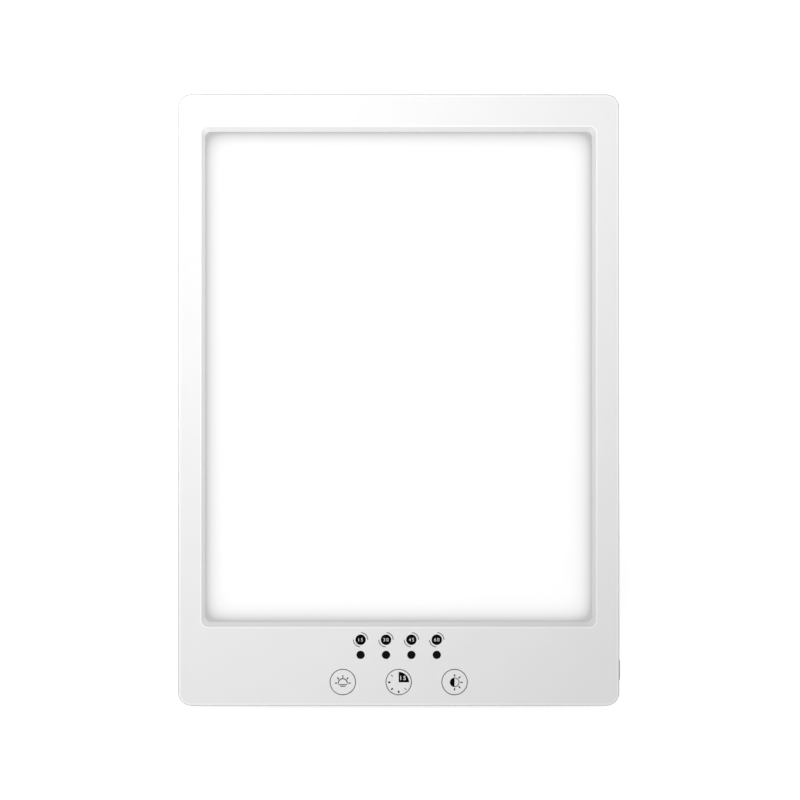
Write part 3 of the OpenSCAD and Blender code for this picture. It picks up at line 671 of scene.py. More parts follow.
def opal_lit():
    """The lit opal plate: even light that fades towards the window's edges, partly as the panel's own falloff and
    partly as painted shade of the recess, with its colour darkened there as painted shade.
    """
    name = "opal_lit"
    if name in bpy.data.materials:
        return bpy.data.materials[name]
    size = sizes()
    material, tree, shader = principled(name, Roughness=0.35, Emission_Strength=1)
    place = use_group(tree, bench_group())
    falls = []
    for label, middle, length in zip(("Across", "Up"), window_middle(size),
                                     (size.window_w, size.window_h)):
        away = calc(tree, "ABSOLUTE", calc(tree, "SUBTRACT", place[label], middle / MM))
        inside = calc(tree, "SUBTRACT", length / 2 / MM, away)
        falls.append(calc(tree, "EXPONENT", calc(tree, "MULTIPLY", inside, -1 / OPAL_FADE)))
    near_edge = calc(tree, "ADD", *falls, use_clamp=True)
    opal = colours().opal
    grain = use_group(tree, grain_group(), {"Scale": 5000})
    bump = add_node(tree, "ShaderNodeBump", {
        "Strength": 0.2, "Distance": 0.004 * MM, "Height": grain["Height"]})
    # The light dims towards the edges, partly the panel's own falloff and partly painted shade; the colour darkens
    # there as painted shade
    feed(tree, mixed(tree, near_edge, [OPAL_GLOW] * 3, [OPAL_EDGE_GLOW] * 3),
         shader.inputs["Emission Color"])
    feed(tree, mixed(tree, near_edge, opal, OPAL_EDGE_PAINTED_SHADE * Vector(opal)),
         shader.inputs["Base Color"])
    feed(tree, bump.outputs["Normal"], shader.inputs["Normal"])
    return material


# -------- housing

BEZEL_T = 2.2 * MM
REAR_WALL = 1.6 * MM
TONGUE_GAP = 0.1 * MM
TONGUE_T = 1.1 * MM
TONGUE_H = 1.5 * MM
LENS_GAP = 0.05 * MM
POCKET_GAP = 0.5 * MM
POCKET_DEPTH = 4.6 * MM
# How far the pocket reaches past the leg's foot and past its hinge
POCKET_PAST_FOOT = 0.4 * MM
POCKET_PAST_HINGE = 6 * MM
POCKET_TOP_R = 0.7 * MM
# How deep a cut has to go to break through the rear wall
THROUGH = 2.5 * MM
VENT_PITCH = 8 * MM
VENT_W = 2.4 * MM
# Each row of vents: its height up the face and its slots' length
TOP_VENTS = (196 * MM, 20 * MM)
LOW_VENTS = (50 * MM, 12 * MM)
LOW_VENTS_X = 48 * MM
SCREW_X = 71.5 * MM
SCREW_YS = (22.3 * MM, 223.4 * MM)
SCREW_PLACES = [(x, y) for x in (-SCREW_X, SCREW_X) for y in SCREW_YS]
SCREW_SEAT = 4 * MM
SCREW_HOLE_R = 1.65 * MM
SCREW_HOLE_END = 9.5 * MM
SCREW_WELL_R = 2.5 * MM
INLET_ON_BENCH = (-48 * MM, 18 * MM)
INLET_HOLE_R = 4.25 * MM
KEY_SIDE_Z = 9.9 * MM
KEY_SIDE_GAP = 0.3 * MM
NOTCH_Y = 62 * MM
FOOT_X = 50 * MM
FOOT_L = 32 * MM
FOOT_W = 5 * MM
FOOT_SLOT_GAP = 0.1 * MM
# An upright outline turned to face sideways: its z becomes x
SIDEWAYS = Matrix(((0, 0, 1), (1, 0, 0), (0, 1, 0))).to_4x4()


def outline(size, inset, z):
    """Outline of the body at a level, drawn in from the side by an inset."""
    r = size.corner_r - inset
    return rounded_loop(size.face_w - 2 * inset, size.face_h - 2 * inset, (r, r), z,
                        (0, size.face_h / 2), 12)


def window_outline(size, grow, z):
    """Outline of the window: grow runs from 0 at the opening to 1 at the lip's outer edge."""
    r = size.window_r + 0.5 * MM * grow
    return rounded_loop(size.window_w + 2 * grow * size.lip_side,
                        size.window_h + 2 * grow * size.lip_end,
                        (r, r), z, window_middle(size), 12)


def side_key_place(size):
    """Takes an outline with z to the right to the side key's place."""
    return Matrix.Translation((0, size.key_side_y, KEY_SIDE_Z)) @ SIDEWAYS


def foot_places(size):
    """Frames of the two rubber feet, with z out of the bottom flank."""
    flank_low = size.rear_edge_r * (1 - math.sin(LEAN))
    z = (size.bevel_z + flank_low) / 2
    y = (size.bevel_z - z) * math.tan(LEAN)
    turn = Matrix.Rotation(math.radians(90) + LEAN, 4, "X")
    return [Matrix.Translation((side * FOOT_X, y, z)) @ turn for side in (-1, 1)]


class LAMP_OT_front_bezel(bpy.types.Operator):
    """Build the glossy frame round the window, with its lens holes"""

    bl_idname = "lamp.front_bezel"
    bl_label = "Front Bezel"

    def execute(self, context):
        size = sizes()
        piece = lofted("bezel_shell", self.section(size), closed=True)
        carve(piece, self.lens_holes(size))
        dress(piece, "housing", gloss_white())
        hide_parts("front_bezel")
        return {"FINISHED"}

    def section(self, size):
        """Loops round the frame: up its outside, over the front and down the lip."""
        front = size.body_t
        inner = front - BEZEL_T
        seam_top = size.split_z + size.seam
        r = size.front_edge_r
        edge = arc_profile((r, front - r), r, 180, 90, steps=8) + [(r + 0.25 * MM, front)]
        foot = front - size.lip_drop
        lip = ([(1.5, front)]
               + bend_profile((1.3, front), (1.06, front), (0.94, front - 0.12 * MM))
               + bend_profile((0.1, foot + 0.15 * MM), (0, foot), (0, foot - 0.15 * MM)))
        return ([outline(size, size.seam, size.split_z), outline(size, 0, seam_top)]
                + [outline(size, inset, z) for inset, z in edge]
                + [window_outline(size, grow, z) for grow, z in lip]
                + [window_outline(size, 0, inner), outline(size, size.wall, inner),
                   outline(size, size.wall, size.split_z)])

    def lens_holes(self, size):
        bm = bmesh.new()
        front = size.body_t
        mouth = size.lamp_r + LENS_GAP
        profile = [(front - BEZEL_T - MM, mouth), (front - 0.12 * MM, mouth),
                   (front - 0.03 * MM, mouth + 0.03 * MM), (front + 0.02 * MM, mouth + 0.12 * MM),
                   (front + 0.5 * MM, mouth + 0.12 * MM)]
        for k in range(4):
            turned(bm, profile, ((k - 1.5) * size.lamp_pitch, size.lamp_y), 32)
        return finish_mesh("lens_holes", bm)


class LAMP_OT_rear_cover(bpy.types.Operator):
    """Build the rear cover, with its leg pocket, vents, wells and key opening"""

    bl_idname = "lamp.rear_cover"
    bl_label = "Rear Cover"

    def execute(self, context):
        size = sizes()
        piece = self.tub(size)
        carve(piece, self.pocket_block(size), "UNION")
        carve(piece, self.rear_cutters(size))
        carve(piece, self.side_cutter(size))
        carve(piece, self.foot_slots(size))
        dress(piece, "housing", finish("textured_white"))
        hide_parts("rear_cover")
        return {"FINISHED"}

    def tub(self, size):
        """The open tub: rear face, tapered flank, side wall, tongue and inner wall."""
        taper = math.tan(LEAN)
        r = size.rear_edge_r
        edge_inset = (size.bevel_z - r) * taper + r / math.cos(LEAN)
        rear_edge = arc_profile((edge_inset, r), r, 270, 180 + math.degrees(LEAN))
        tongue_out = size.wall + TONGUE_GAP
        tongue_in = tongue_out + TONGUE_T
        top = size.split_z + TONGUE_H
        floor_inset = size.wall / math.cos(LEAN) + (size.bevel_z - REAR_WALL) * taper
        chain = rear_edge + [
            (0, size.bevel_z), (0, size.split_z - size.seam), (size.seam, size.split_z),
            (tongue_out, size.split_z), (tongue_out, top - 0.3 * MM), (tongue_out + 0.3 * MM, top),
            (tongue_in, top), (tongue_in, size.split_z - MM), (size.wall, size.split_z - MM),
            (size.wall, size.bevel_z + 0.35 * MM), (floor_inset, REAR_WALL),
        ]
        return lofted("cover_shell", [outline(size, inset, z) for inset, z in chain])

    def pocket_loop(self, size, grow, z):
        """Outline of the leg's pocket, grown by a margin."""
        low = HINGE_ON_BENCH.y - LEG_LENGTH - POCKET_GAP - POCKET_PAST_FOOT - grow
        high = HINGE_ON_BENCH.y + POCKET_PAST_HINGE + grow
        w = size.leg_w + 2 * POCKET_GAP + 2 * grow
        radii = (POCKET_TOP_R + grow, size.leg_corner_r + POCKET_GAP + grow)
        return rounded_loop(w, high - low, radii, z, (0, (low + high) / 2), 10)

    def pocket_block(self, size):
        """The block behind the rear wall that the pocket is sunk in."""
        levels = (REAR_WALL / 2, POCKET_DEPTH + REAR_WALL)
        return lofted("pocket_block", [self.pocket_loop(size, REAR_WALL, z) for z in levels])

    def rear_cutters(self, size):
        """What opens the rear face: the leg's pocket, the vents, screw wells and inlet hole."""
        bm = bmesh.new()
        mouth = flared(0.35 * MM)
        floor = [(POCKET_DEPTH - 0.4 * MM, 0), (POCKET_DEPTH - 0.1 * MM, -0.1 * MM),
                 (POCKET_DEPTH, -0.4 * MM)]
        loft(bm, [self.pocket_loop(size, grow, z) for z, grow in mouth + floor])
        for x, y, l in self.vents():
            long_round(bm, l, VENT_W, flared(0.3 * MM) + [(THROUGH, 0)], (x, y), 90)
        well = [(z, SCREW_WELL_R + grow) for z, grow in mouth] + [
            (SCREW_SEAT - 0.3 * MM, SCREW_WELL_R), (SCREW_SEAT, SCREW_WELL_R - 0.3 * MM),
            (SCREW_SEAT, SCREW_HOLE_R), (SCREW_HOLE_END, SCREW_HOLE_R)]
        for place in SCREW_PLACES:
            turned(bm, well, place, 40)
        inlet = [(z, INLET_HOLE_R + grow) for z, grow in mouth + [(THROUGH, 0)]]
        turned(bm, inlet, INLET_ON_BENCH, 48)
        return finish_mesh("rear_cutters", bm)

    def vents(self):
        """Middle and length of each vent slot."""
        top = [(k * VENT_PITCH, *TOP_VENTS) for k in range(-4, 5)]
        low = [(side * (LOW_VENTS_X + k * VENT_PITCH), *LOW_VENTS)
               for k in range(4) for side in (-1, 1)]
        return top + low

    def side_cutter(self, size):
        """The opening for the side key, and the finger notch beside the leg."""
        bm = bmesh.new()
        opening = [(size.face_w / 2 + x, grow)
                   for x, grow in in_mm((-3, 0), (-0.4, 0), (-0.1, 0.05), (0, 0.25), (0.5, 0.25))]
        long_round(bm, size.key_side_l + 2 * KEY_SIDE_GAP, size.key_side_t + 2 * KEY_SIDE_GAP,
                   opening, place=side_key_place(size))
        notch = in_mm((-0.5, 1), (0, 1), (0.1, 0.5), (0.6, 0.05), (1.6, -0.7), (2.6, -2),
                      (3, -3.4))
        long_round(bm, 20 * MM, 12 * MM, notch, (size.leg_w / 2 + MM, NOTCH_Y), 90)
        return finish_mesh("side_cutter", bm)

    def foot_slots(self, size):
        bm = bmesh.new()
        profile = in_mm((-0.7, 0), (-0.1, 0), (0.02, 0.12), (0.5, 0.12))
        for place in foot_places(size):
            long_round(bm, FOOT_L + FOOT_SLOT_GAP, FOOT_W + FOOT_SLOT_GAP, profile, place=place)
        return finish_mesh("foot_slots", bm)


class LAMP_OT_feet(bpy.types.Operator):
    """Build the two rubber feet of the bottom flank"""

    bl_idname = "lamp.feet"
    bl_label = "Rubber Feet"

    def execute(self, context):
        bm = bmesh.new()
        profile = in_mm((-0.65, 0), (0.3, 0), (0.45, -0.05), (0.55, -0.16), (0.6, -0.34))
        for place in foot_places(sizes()):
            long_round(bm, FOOT_L, FOOT_W, profile, place=place, steps=14)
        piece = finish_mesh("foot_rubbers", bm)
        dress(piece, "housing", finish("soft_rubber"))
        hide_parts("rubber_feet")
        return {"FINISHED"}


class LAMP_OT_case_screws(bpy.types.Operator):
    """Build the four pan-head case screws, with their cross recesses"""

    bl_idname = "lamp.case_screws"
    bl_label = "Case Screws"

    def execute(self, context):
        bm = bmesh.new()
        cross = bmesh.new()
        # Level above the seat and radius: a domed head, then the shank
        profile = in_mm((-1.75, 0.9), (-1.7, 1.45), (-1.5, 1.95), (-1.1, 2.22), (-0.5, 2.3),
                        (-0.08, 2.28), (0, 2.2), (0, 1.45), (9.5, 1.45), (11, 0.6))
        screw = [(SCREW_SEAT + z, r) for z, r in profile]
        for n, place in enumerate(SCREW_PLACES):
            turned(bm, screw, place, 40)
            self.cross_recess(cross, place, screw[0][0], math.radians(17 + 31 * n))
        piece = finish_mesh("case_screw_heads", bm)
        carve(piece, finish_mesh("cross_recess", cross))
        dress(piece, "housing", finish("zinc_steel"))
        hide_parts("case_screws")
        return {"FINISHED"}

    def cross_recess(self, bm, centre, head_z, turn):
        """A cross that narrows as it goes in: an outline of twelve points, lofted."""
        loops = []
        for depth, arm, half in ((-0.3, 1.35, 0.34), (0.1, 1.2, 0.3), (1.2, 0.6, 0.16)):
            loop = []
            for k in range(4):
                spin = Matrix.Rotation(turn + k * math.pi / 2, 2)
                for px, py in in_mm((arm, -half), (arm, half), (half, half)):
                    p = spin @ Vector((px, py))
                    loop.append(Vector((centre[0] + p.x, centre[1] + p.y, head_z + depth * MM)))
            loops.append(loop)
        loft(bm, loops)


# -------- face prints and lenses

MINUTES = ("15", "30", "45", "60")
NUMBER_H = 1.8 * MM
CLOCK_NUMBER_H = 2.2 * MM
NUMBER_T = 0.02 * MM
# How much the digits are thickened, and how far apart they stand
BOLD = 0.004 * MM
CLOCK_BOLD = 0.03 * MM
DIGIT_SPACE = 1.32
# Middle line and width of the arcs beside a number, and where each arc starts and ends
ARC_R = 2.7 * MM
ARC_W = 0.27 * MM
ARCS = ((0, 86), (180, 266))
RING_W = 0.3 * MM
# The icons sit a little lower than the middle of their rings
ICON_DROP = 0.1 * MM
LENS_STRIP_W = 5 * MM
LENS_STRIP_T = 0.6 * MM


class Ink:
    """Printed shapes on the face, built as thin closed plates."""

    def __init__(self, size):
        self.bm = bmesh.new()
        self.top = size.body_t + size.ink
        self.bottom = size.body_t - size.ink

    def plate(self, points):
        loft(self.bm, [[Vector((x, y, z)) for x, y in points] for z in (self.bottom, self.top)])

    def disc(self, centre, r):
        self.plate([(p.x, p.y) for p in circle_loop(r, 0, centre, 64)])

    def ring(self, centre, r, width):
        half = width / 2
        corners = ((-half, self.bottom), (half, self.bottom), (half, self.top), (-half, self.top))
        loft(self.bm, [circle_loop(r + grow, z, centre, 128) for grow, z in corners], closed=True)

    def arc(self, centre, r, width, start, end, steps=24):
        outer = arc_profile(centre, r + width / 2, start, end, steps)
        inner = arc_profile(centre, r - width / 2, end, start, steps)
        self.plate(outer + inner)

    def sector(self, centre, r, start, end):
        self.plate([centre] + arc_profile(centre, r, start, end, 32))

    def bar(self, centre, length, width, angle=0):
        spin = Matrix.Rotation(math.radians(angle), 2)
        corners = ((-1, -1), (1, -1), (1, 1), (-1, 1))
        points = [spin @ Vector((sx * length / 2, sy * width / 2)) for sx, sy in corners]
        self.plate([(centre[0] + p.x, centre[1] + p.y) for p in points])

    def ray(self, centre, start, end, width, angle):
        """A bar that runs outwards from a centre, from one radius to another."""
        a = math.radians(angle)
        middle = (start + end) / 2
        at = (centre[0] + middle * math.cos(a), centre[1] + middle * math.sin(a))
        self.bar(at, end - start, width, angle)

    def piece(self, name, material):
        return dress(finish_mesh(name, self.bm), "housing", material)


def printed_number(name, text, centre, height, bold):
    """A number as a thin plate on the face, in the middle of its ground."""
    size = sizes()
    curve = bpy.data.curves.new(name, "FONT")
    curve.body = text
    curve.size = height
    curve.offset = bold
    curve.space_character = DIGIT_SPACE
    curve.align_x = "CENTER"
    curve.align_y = "CENTER"
    curve.extrude = NUMBER_T
    curve.resolution_u = 6
    holder = bpy.data.objects.new("number", curve)
    bpy.context.scene.collection.objects.link(holder)
    graph = bpy.context.evaluated_depsgraph_get()
    graph.update()
    mesh = bpy.data.meshes.new_from_object(holder.evaluated_get(graph))
    bpy.data.objects.remove(holder)
    low = Vector([min(v.co[k] for v in mesh.vertices) for k in range(3)])
    high = Vector([max(v.co[k] for v in mesh.vertices) for k in range(3)])
    middle = (low + high) / 2
    mesh.transform(Matrix.Translation((
        centre[0] - middle.x, centre[1] - middle.y, size.body_t + size.ink,
    )))
    bm = bmesh.new()
    bm.from_mesh(mesh)
    bpy.data.meshes.remove(mesh)
    return dress(finish_mesh(name, bm), "housing", finish("white_ink"))


class LAMP_OT_timer_row(bpy.types.Operator):
    """Print the number discs with their arcs, and build the four timer lenses"""

    bl_idname = "lamp.timer_row"
    bl_label = "Timer Row"

    def execute(self, context):
        size = sizes()
        discs = Ink(size)
        lines = Ink(size)
        lenses = bmesh.new()
        for k, text in enumerate(MINUTES):
            x = (k - 1.5) * size.lamp_pitch
            at = (x, size.disc_y)
            discs.disc(at, size.disc_r)
            for start, end in ARCS:
                lines.arc(at, ARC_R, ARC_W, start, end)
            printed_number("number_" + text, text, at, NUMBER_H, BOLD)
            turned(lenses, self.lens(size), (x, size.lamp_y), 48)
        discs.piece("number_discs", finish("black_ink"))
        lines.piece("number_arcs", finish("line_ink"))
        strip = size.body_t - BEZEL_T
        long_round(lenses, 3 * size.lamp_pitch + LENS_STRIP_W, LENS_STRIP_W,
                   [(strip - LENS_STRIP_T, 0), (strip, 0)], (0, size.lamp_y))
        caps = finish_mesh("timer_lenses", lenses)
        dress(caps, "housing", finish("black_lens"))
        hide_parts("indicator_lenses")
        return {"FINISHED"}

    def lens(self, size):
        """Profile of a lens, with a low crown that stays under the face."""
        rims = in_mm((2.25, 0), (0.16, 0), (0.08, 0.06), (0.04, 0.3), (0.02, 0.8))
        return ([(size.body_t - depth, size.lamp_r - inset) for depth, inset in rims]
                + [(size.body_t - 0.015 * MM, 0.1 * MM)])


class LAMP_OT_touch_keys(bpy.types.Operator):
    """Print the three touch keys: their rings and their icons"""

    bl_idname = "lamp.touch_keys"
    bl_label = "Touch Keys"

    def execute(self, context):
        size = sizes()
        rings = Ink(size)
        icons = Ink(size)
        pale = Ink(size)
        middle = size.key_y - ICON_DROP
        for k in (-1, 0, 1):
            rings.ring((k * size.key_pitch, size.key_y), size.key_r, RING_W)
        self.sunrise(icons, (-size.key_pitch, middle))
        self.clock(icons, (0, middle))
        self.brightness(icons, pale, (size.key_pitch, middle))
        pale.piece("brightness_half", finish("white_ink"))
        rings.piece("key_rings", finish("line_ink"))
        icons.piece("key_icons", finish("black_ink"))
        at = (1.64 * MM, size.key_y + 1.5 * MM)
        printed_number("clock_number", MINUTES[0], at, CLOCK_NUMBER_H, CLOCK_BOLD)
        return {"FINISHED"}

    def sunrise(self, ink, key):
        """A half sun with five rays over two water lines."""
        at = (key[0], key[1] - 0.3 * MM)
        ink.arc(at, 1.66 * MM, 0.34 * MM, -4, 184, 32)
        for angle in (0, 45, 90, 135, 180):
            ink.ray(at, 2.02 * MM, 2.95 * MM, 0.38 * MM, angle)
        for drop, length in in_mm((0.6, 3.3), (1.2, 1.9)):
            ink.bar((at[0], at[1] - drop), length, 0.32 * MM)

    def clock(self, ink, key):
        """A dial with a filled quarter, and thin and bold ticks at the other eighths."""
        ink.sector(key, 3.9 * MM, 0, 90)
        for angle, width in ((135, 0.28), (180, 0.62), (225, 0.54), (270, 0.62), (315, 0.28)):
            ink.ray(key, 3.15 * MM, 3.98 * MM, width * MM, angle)

    def brightness(self, ink, pale, key):
        """A sun whose left half is filled and right half is pale, with rays on its right."""
        ink.sector(key, 1.76 * MM, 90, 270)
        pale.sector(key, 1.56 * MM, -90, 90)
        ink.arc(key, 1.66 * MM, 0.28 * MM, -90, 90, 32)
        for angle in (-90, -45, 0, 45, 90):
            ink.ray(key, 2.12 * MM, 3.05 * MM, 0.4 * MM, angle)


# -------- side key

class LAMP_OT_side_key(bpy.types.Operator):
    """Build the side key, with its flange behind the wall and its crown"""

    bl_idname = "lamp.side_key"
    bl_label = "Side Key"

    def execute(self, context):
        size = sizes()
        face = size.face_w / 2 + size.key_side_out
        inner = size.face_w / 2 - size.wall - MM
        flange_top = inner + 0.9 * MM
        # Distance to the right, and growth along and across: the flange, then the key
        levels = [(x, 1.2 * MM, 0.1 * MM) for x in (inner, flange_top)] + [(flange_top, 0, 0)]
        crown = in_mm((0.4, 0), (0.24, 0.03), (0.12, 0.12), (0.04, 0.3), (0, 0.8), (0, 1.2))
        levels += [(face - drop, -inset, -inset) for drop, inset in crown]
        place = side_key_place(size)
        piece = lofted("side_key_cap", [
            [place @ p for p in stadium_loop(size.key_side_l + 2 * along,
                                             size.key_side_t + 2 * across, x, steps=16)]
            for x, along, across in levels
        ])
        dress(piece, "side_key", finish("grey_key"))
        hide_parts("power_button")
        return {"FINISHED"}


# -------- folding leg

# How far the leg reaches past its hinge, and the corner radius of that end
HEEL_L = 5 * MM
HEEL_R = 0.9 * MM
OUTER_EDGE_R = 0.7 * MM
INNER_EDGE_R = 0.35 * MM
LEG_SKIN = 1.6 * MM
LEG_RIM = 1.8 * MM
LEG_RIB = 1.2 * MM
# Solid stretches of the leg at its hinge and at its foot
HINGE_BLOCK = 5 * MM
FOOT_BLOCK = 12 * MM
BAYS_ACROSS = 4
BAYS_ALONG = 5
# How far cutters reach past what they cut
CUTTER = 40 * MM
HEEL_CUTTER = 30 * MM


def leg_blank(size, name):
    """The slab that the leg and its rubber end are cut from, with rounded edges."""
    t = size.leg_t / 2
    profile = arc_profile((OUTER_EDGE_R, -t + OUTER_EDGE_R), OUTER_EDGE_R, 270, 180, 5)
    profile += arc_profile((INNER_EDGE_R, t - INNER_EDGE_R), INNER_EDGE_R, 180, 90, 4)
    loops = []
    for inset, z in profile:
        high = HEEL_L - inset
        low = -LEG_LENGTH + inset
        radii = (HEEL_R, size.leg_corner_r - inset)
        loops.append(rounded_loop(size.leg_w - 2 * inset, high - low, radii, z,
                                  (0, (high + low) / 2), 10))
    return lofted(name, loops, LEG)


def across_leg(size, name, corners):
    """A bar right across the leg, whose section is given as (y, z) in the leg's frame."""
    loops = [[Vector((x, y, z)) for y, z in corners] for x in (-size.leg_w, size.leg_w)]
    return lofted(name, loops, LEG)


def foot_wedge(size, drop, above):
    """A block over or under the line where the leg's rubber end starts."""
    slope = math.tan(LEG_TIP)
    start = -LEG_LENGTH + drop
    far = start + (4 if above else -4) * CUTTER
    return across_leg(size, "foot_wedge", [
        (start - CUTTER * slope, -CUTTER), (start + CUTTER * slope, CUTTER),
        (far, CUTTER), (far, -CUTTER),
    ])


class LAMP_OT_leg(bpy.types.Operator):
    """Build the folding leg with its ribbed inside and heel, and its rubber end"""

    bl_idname = "lamp.leg"
    bl_label = "Folding Leg"

    def execute(self, context):
        size = sizes()
        leg = leg_blank(size, "leg_shell")
        carve(leg, foot_wedge(size, size.pad_l, above=False))
        carve(leg, self.heel_wedge(size))
        carve(leg, self.bays(size))
        dress(leg, "leg", finish("textured_white"))
        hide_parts("kickstand_leg")
        pad = leg_blank(size, "leg_rubber")
        carve(pad, foot_wedge(size, size.pad_l, above=True))
        carve(pad, foot_wedge(size, 0, above=False))
        carve(pad, self.grip_grooves(size))
        dress(pad, "leg", finish("soft_rubber"))
        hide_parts("leg_foot_pad")
        return {"FINISHED"}

    def heel_wedge(self, size):
        """What the heel loses so that it lies flat on the pocket's floor when open."""
        floor_in = POCKET_DEPTH - 0.1 * MM - HINGE_ON_BENCH.z
        end = floor_in + HEEL_CUTTER
        lean = Matrix.Rotation(-LEG_OPEN, 4, "X")
        corners = [lean @ Vector((0, y, z)) for y, z in (
            (-HEEL_CUTTER, floor_in), (HEEL_CUTTER, floor_in), (HEEL_CUTTER, end),
            (-HEEL_CUTTER, end))]
        return across_leg(size, "heel_wedge", [(p.y, p.z) for p in corners])

    def bays(self, size):
        """Lightening bays between the ribs, with small radii."""
        w = (size.leg_w - 2 * LEG_RIM - (BAYS_ACROSS - 1) * LEG_RIB) / BAYS_ACROSS
        h = (LEG_LENGTH - HINGE_BLOCK - FOOT_BLOCK - (BAYS_ALONG - 1) * LEG_RIB) / BAYS_ALONG
        floor = LEG_SKIN - size.leg_t / 2
        top = size.leg_t / 2
        levels = [(floor, 0.3 * MM), (floor + 0.1 * MM, 0.1 * MM), (floor + 0.3 * MM, 0),
                  (top - 0.15 * MM, 0), (top, -0.12 * MM), (top + MM, -0.12 * MM)]
        r = 0.8 * MM
        bm = bmesh.new()
        for i in range(BAYS_ACROSS):
            for j in range(BAYS_ALONG):
                centre = (-size.leg_w / 2 + LEG_RIM + w / 2 + i * (w + LEG_RIB),
                          -HINGE_BLOCK - h / 2 - j * (h + LEG_RIB))
                loft(bm, [rounded_loop(w - 2 * inset, h - 2 * inset, (r, r), z, centre, 4)
                          for z, inset in levels])
        return finish_mesh("leg_bays", bm, LEG)

    def grip_grooves(self, size):
        """Shallow grooves along the rubber end's sole."""
        bm = bmesh.new()
        sole = Matrix.Translation((0, -LEG_LENGTH, 0)) @ Matrix.Rotation(LEG_TIP, 4, "X")
        section = in_mm((-0.5, -0.14), (0.22, -0.08), (0.22, 0.08), (-0.5, 0.14))
        for middle in (-1.2 * MM, -0.4 * MM, 0.4 * MM, 1.2 * MM):
            loft(bm, [[sole @ Vector((x, y, middle + dz)) for y, dz in section]
                      for x in (-size.leg_w, size.leg_w)])
        return finish_mesh("grip_grooves", bm, LEG)


# -------- power inlet

# Profiles are levels above the rear face and radii, in millimetres
INLET_MOUTH = 0.4
SNOUT = ((INLET_MOUTH, 3.95), (INLET_MOUTH + 0.06, 4.06), (INLET_MOUTH + 0.2, 4.1), (3, 4.1))
BARREL = ((INLET_MOUTH - 0.5, 3.55), (INLET_MOUTH, 3.55), (INLET_MOUTH + 0.05, 3.4),
          (INLET_MOUTH + 0.3, 3.15), (INLET_MOUTH + 0.6, 3.1), (10.2, 3.1))
# The block's levels, and how much its edges are broken there
BLOCK = ((2.2, 0.2), (2.4, 0), (11.2, 0), (11.4, 0.2))
BLOCK_W = 9 * MM
BLOCK_R = 0.3 * MM


class LAMP_OT_inlet(bpy.types.Operator):
    """Build the barrel inlet, with its round mouth and its bore"""

    bl_idname = "lamp.inlet"
    bl_label = "Power Inlet"

    def execute(self, context):
        piece = lofted("inlet_body", [
            rounded_loop(BLOCK_W - inset, BLOCK_W - inset, (BLOCK_R, BLOCK_R), z,
                         INLET_ON_BENCH, 4)
            for z, inset in in_mm(*BLOCK)
        ])
        carve(piece, self.round_piece("snout", SNOUT), "UNION")
        carve(piece, self.round_piece("barrel", BARREL))
        dress(piece, "housing", finish("satin_black"))
        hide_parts("dc_inlet")
        return {"FINISHED"}

    def round_piece(self, name, profile):
        return lofted(name, [circle_loop(r, z, INLET_ON_BENCH, 48) for z, r in in_mm(*profile)])


# -------- pieces that keep their shape

INNER_FINISHES = {
    "closed_foam": ("diffuser_gasket",),
    "white_sheet": ("diffusion_film", "reflector_tray"),
    "white_mask": ("led_board",),
    "yellow_phosphor": ("leds", "indicator_leds"),
    "zinc_steel": ("led_board_screws", "control_board_screws", "hinge_pins"),
    "solder_mask": ("control_board",),
    "dark_foam": ("touch_pads",),
    "satin_black": ("indicator_shroud", "controller_chip", "driver_inductor", "power_switch",
                    "switch_plunger"),
    "drawn_aluminium": ("driver_capacitors",),
    "bright_brass": ("dc_inlet_pin",),
    "natural_nylon": ("lead_socket", "lead_plug", "hinge_washers"),
    "red_sleeve": ("led_lead_positive",),
    "black_sleeve": ("led_lead_negative",),
}


class LAMP_OT_inner_pieces(bpy.types.Operator):
    """Give the window's plate and every inner piece its finish"""

    bl_idname = "lamp.inner_pieces"
    bl_label = "Inner Pieces"

    def execute(self, context):
        finish_node("diffuser_plate", opal_lit())
        for name, nodes in INNER_FINISHES.items():
            for node in nodes:
                finish_node(node, finish(name))
        return {"FINISHED"}


# -------- stage

# The camera's lens and sensor in millimetres, and the photograph's measures in pixels
LENS = 200
SENSOR = 36
FRAME_PX = 800
FACE_PX_H = 612
FACE_MIDDLE_PX_X = 398.7
FLOOR_HALF = 6
# How much of the floor's white stays in a shadow, and how far from where its shadows fade out
FLOOR_LIFT = 0.62
SHADOW_MIDDLE = (0, 0.08, 0)
SHADOW_REACH = (0.05, 0.22)
ROOM_LIGHT = 0.12
# Each light's name, place, target, width, spread in degrees and power
LIGHTS = (
    ("key_light", (-0.1, -0.899, 0.565), (-0.18, 0.096, 0.373), 0.3, 90, 2.91),
    ("left_light", (-0.816, 0.864, 0.3), (0, 0, 0.11), 0.5, 180, 4.6),
    ("right_light", (0.816, 0.864, 0.3), (0, 0, 0.11), 0.5, 180, 6.4),
)


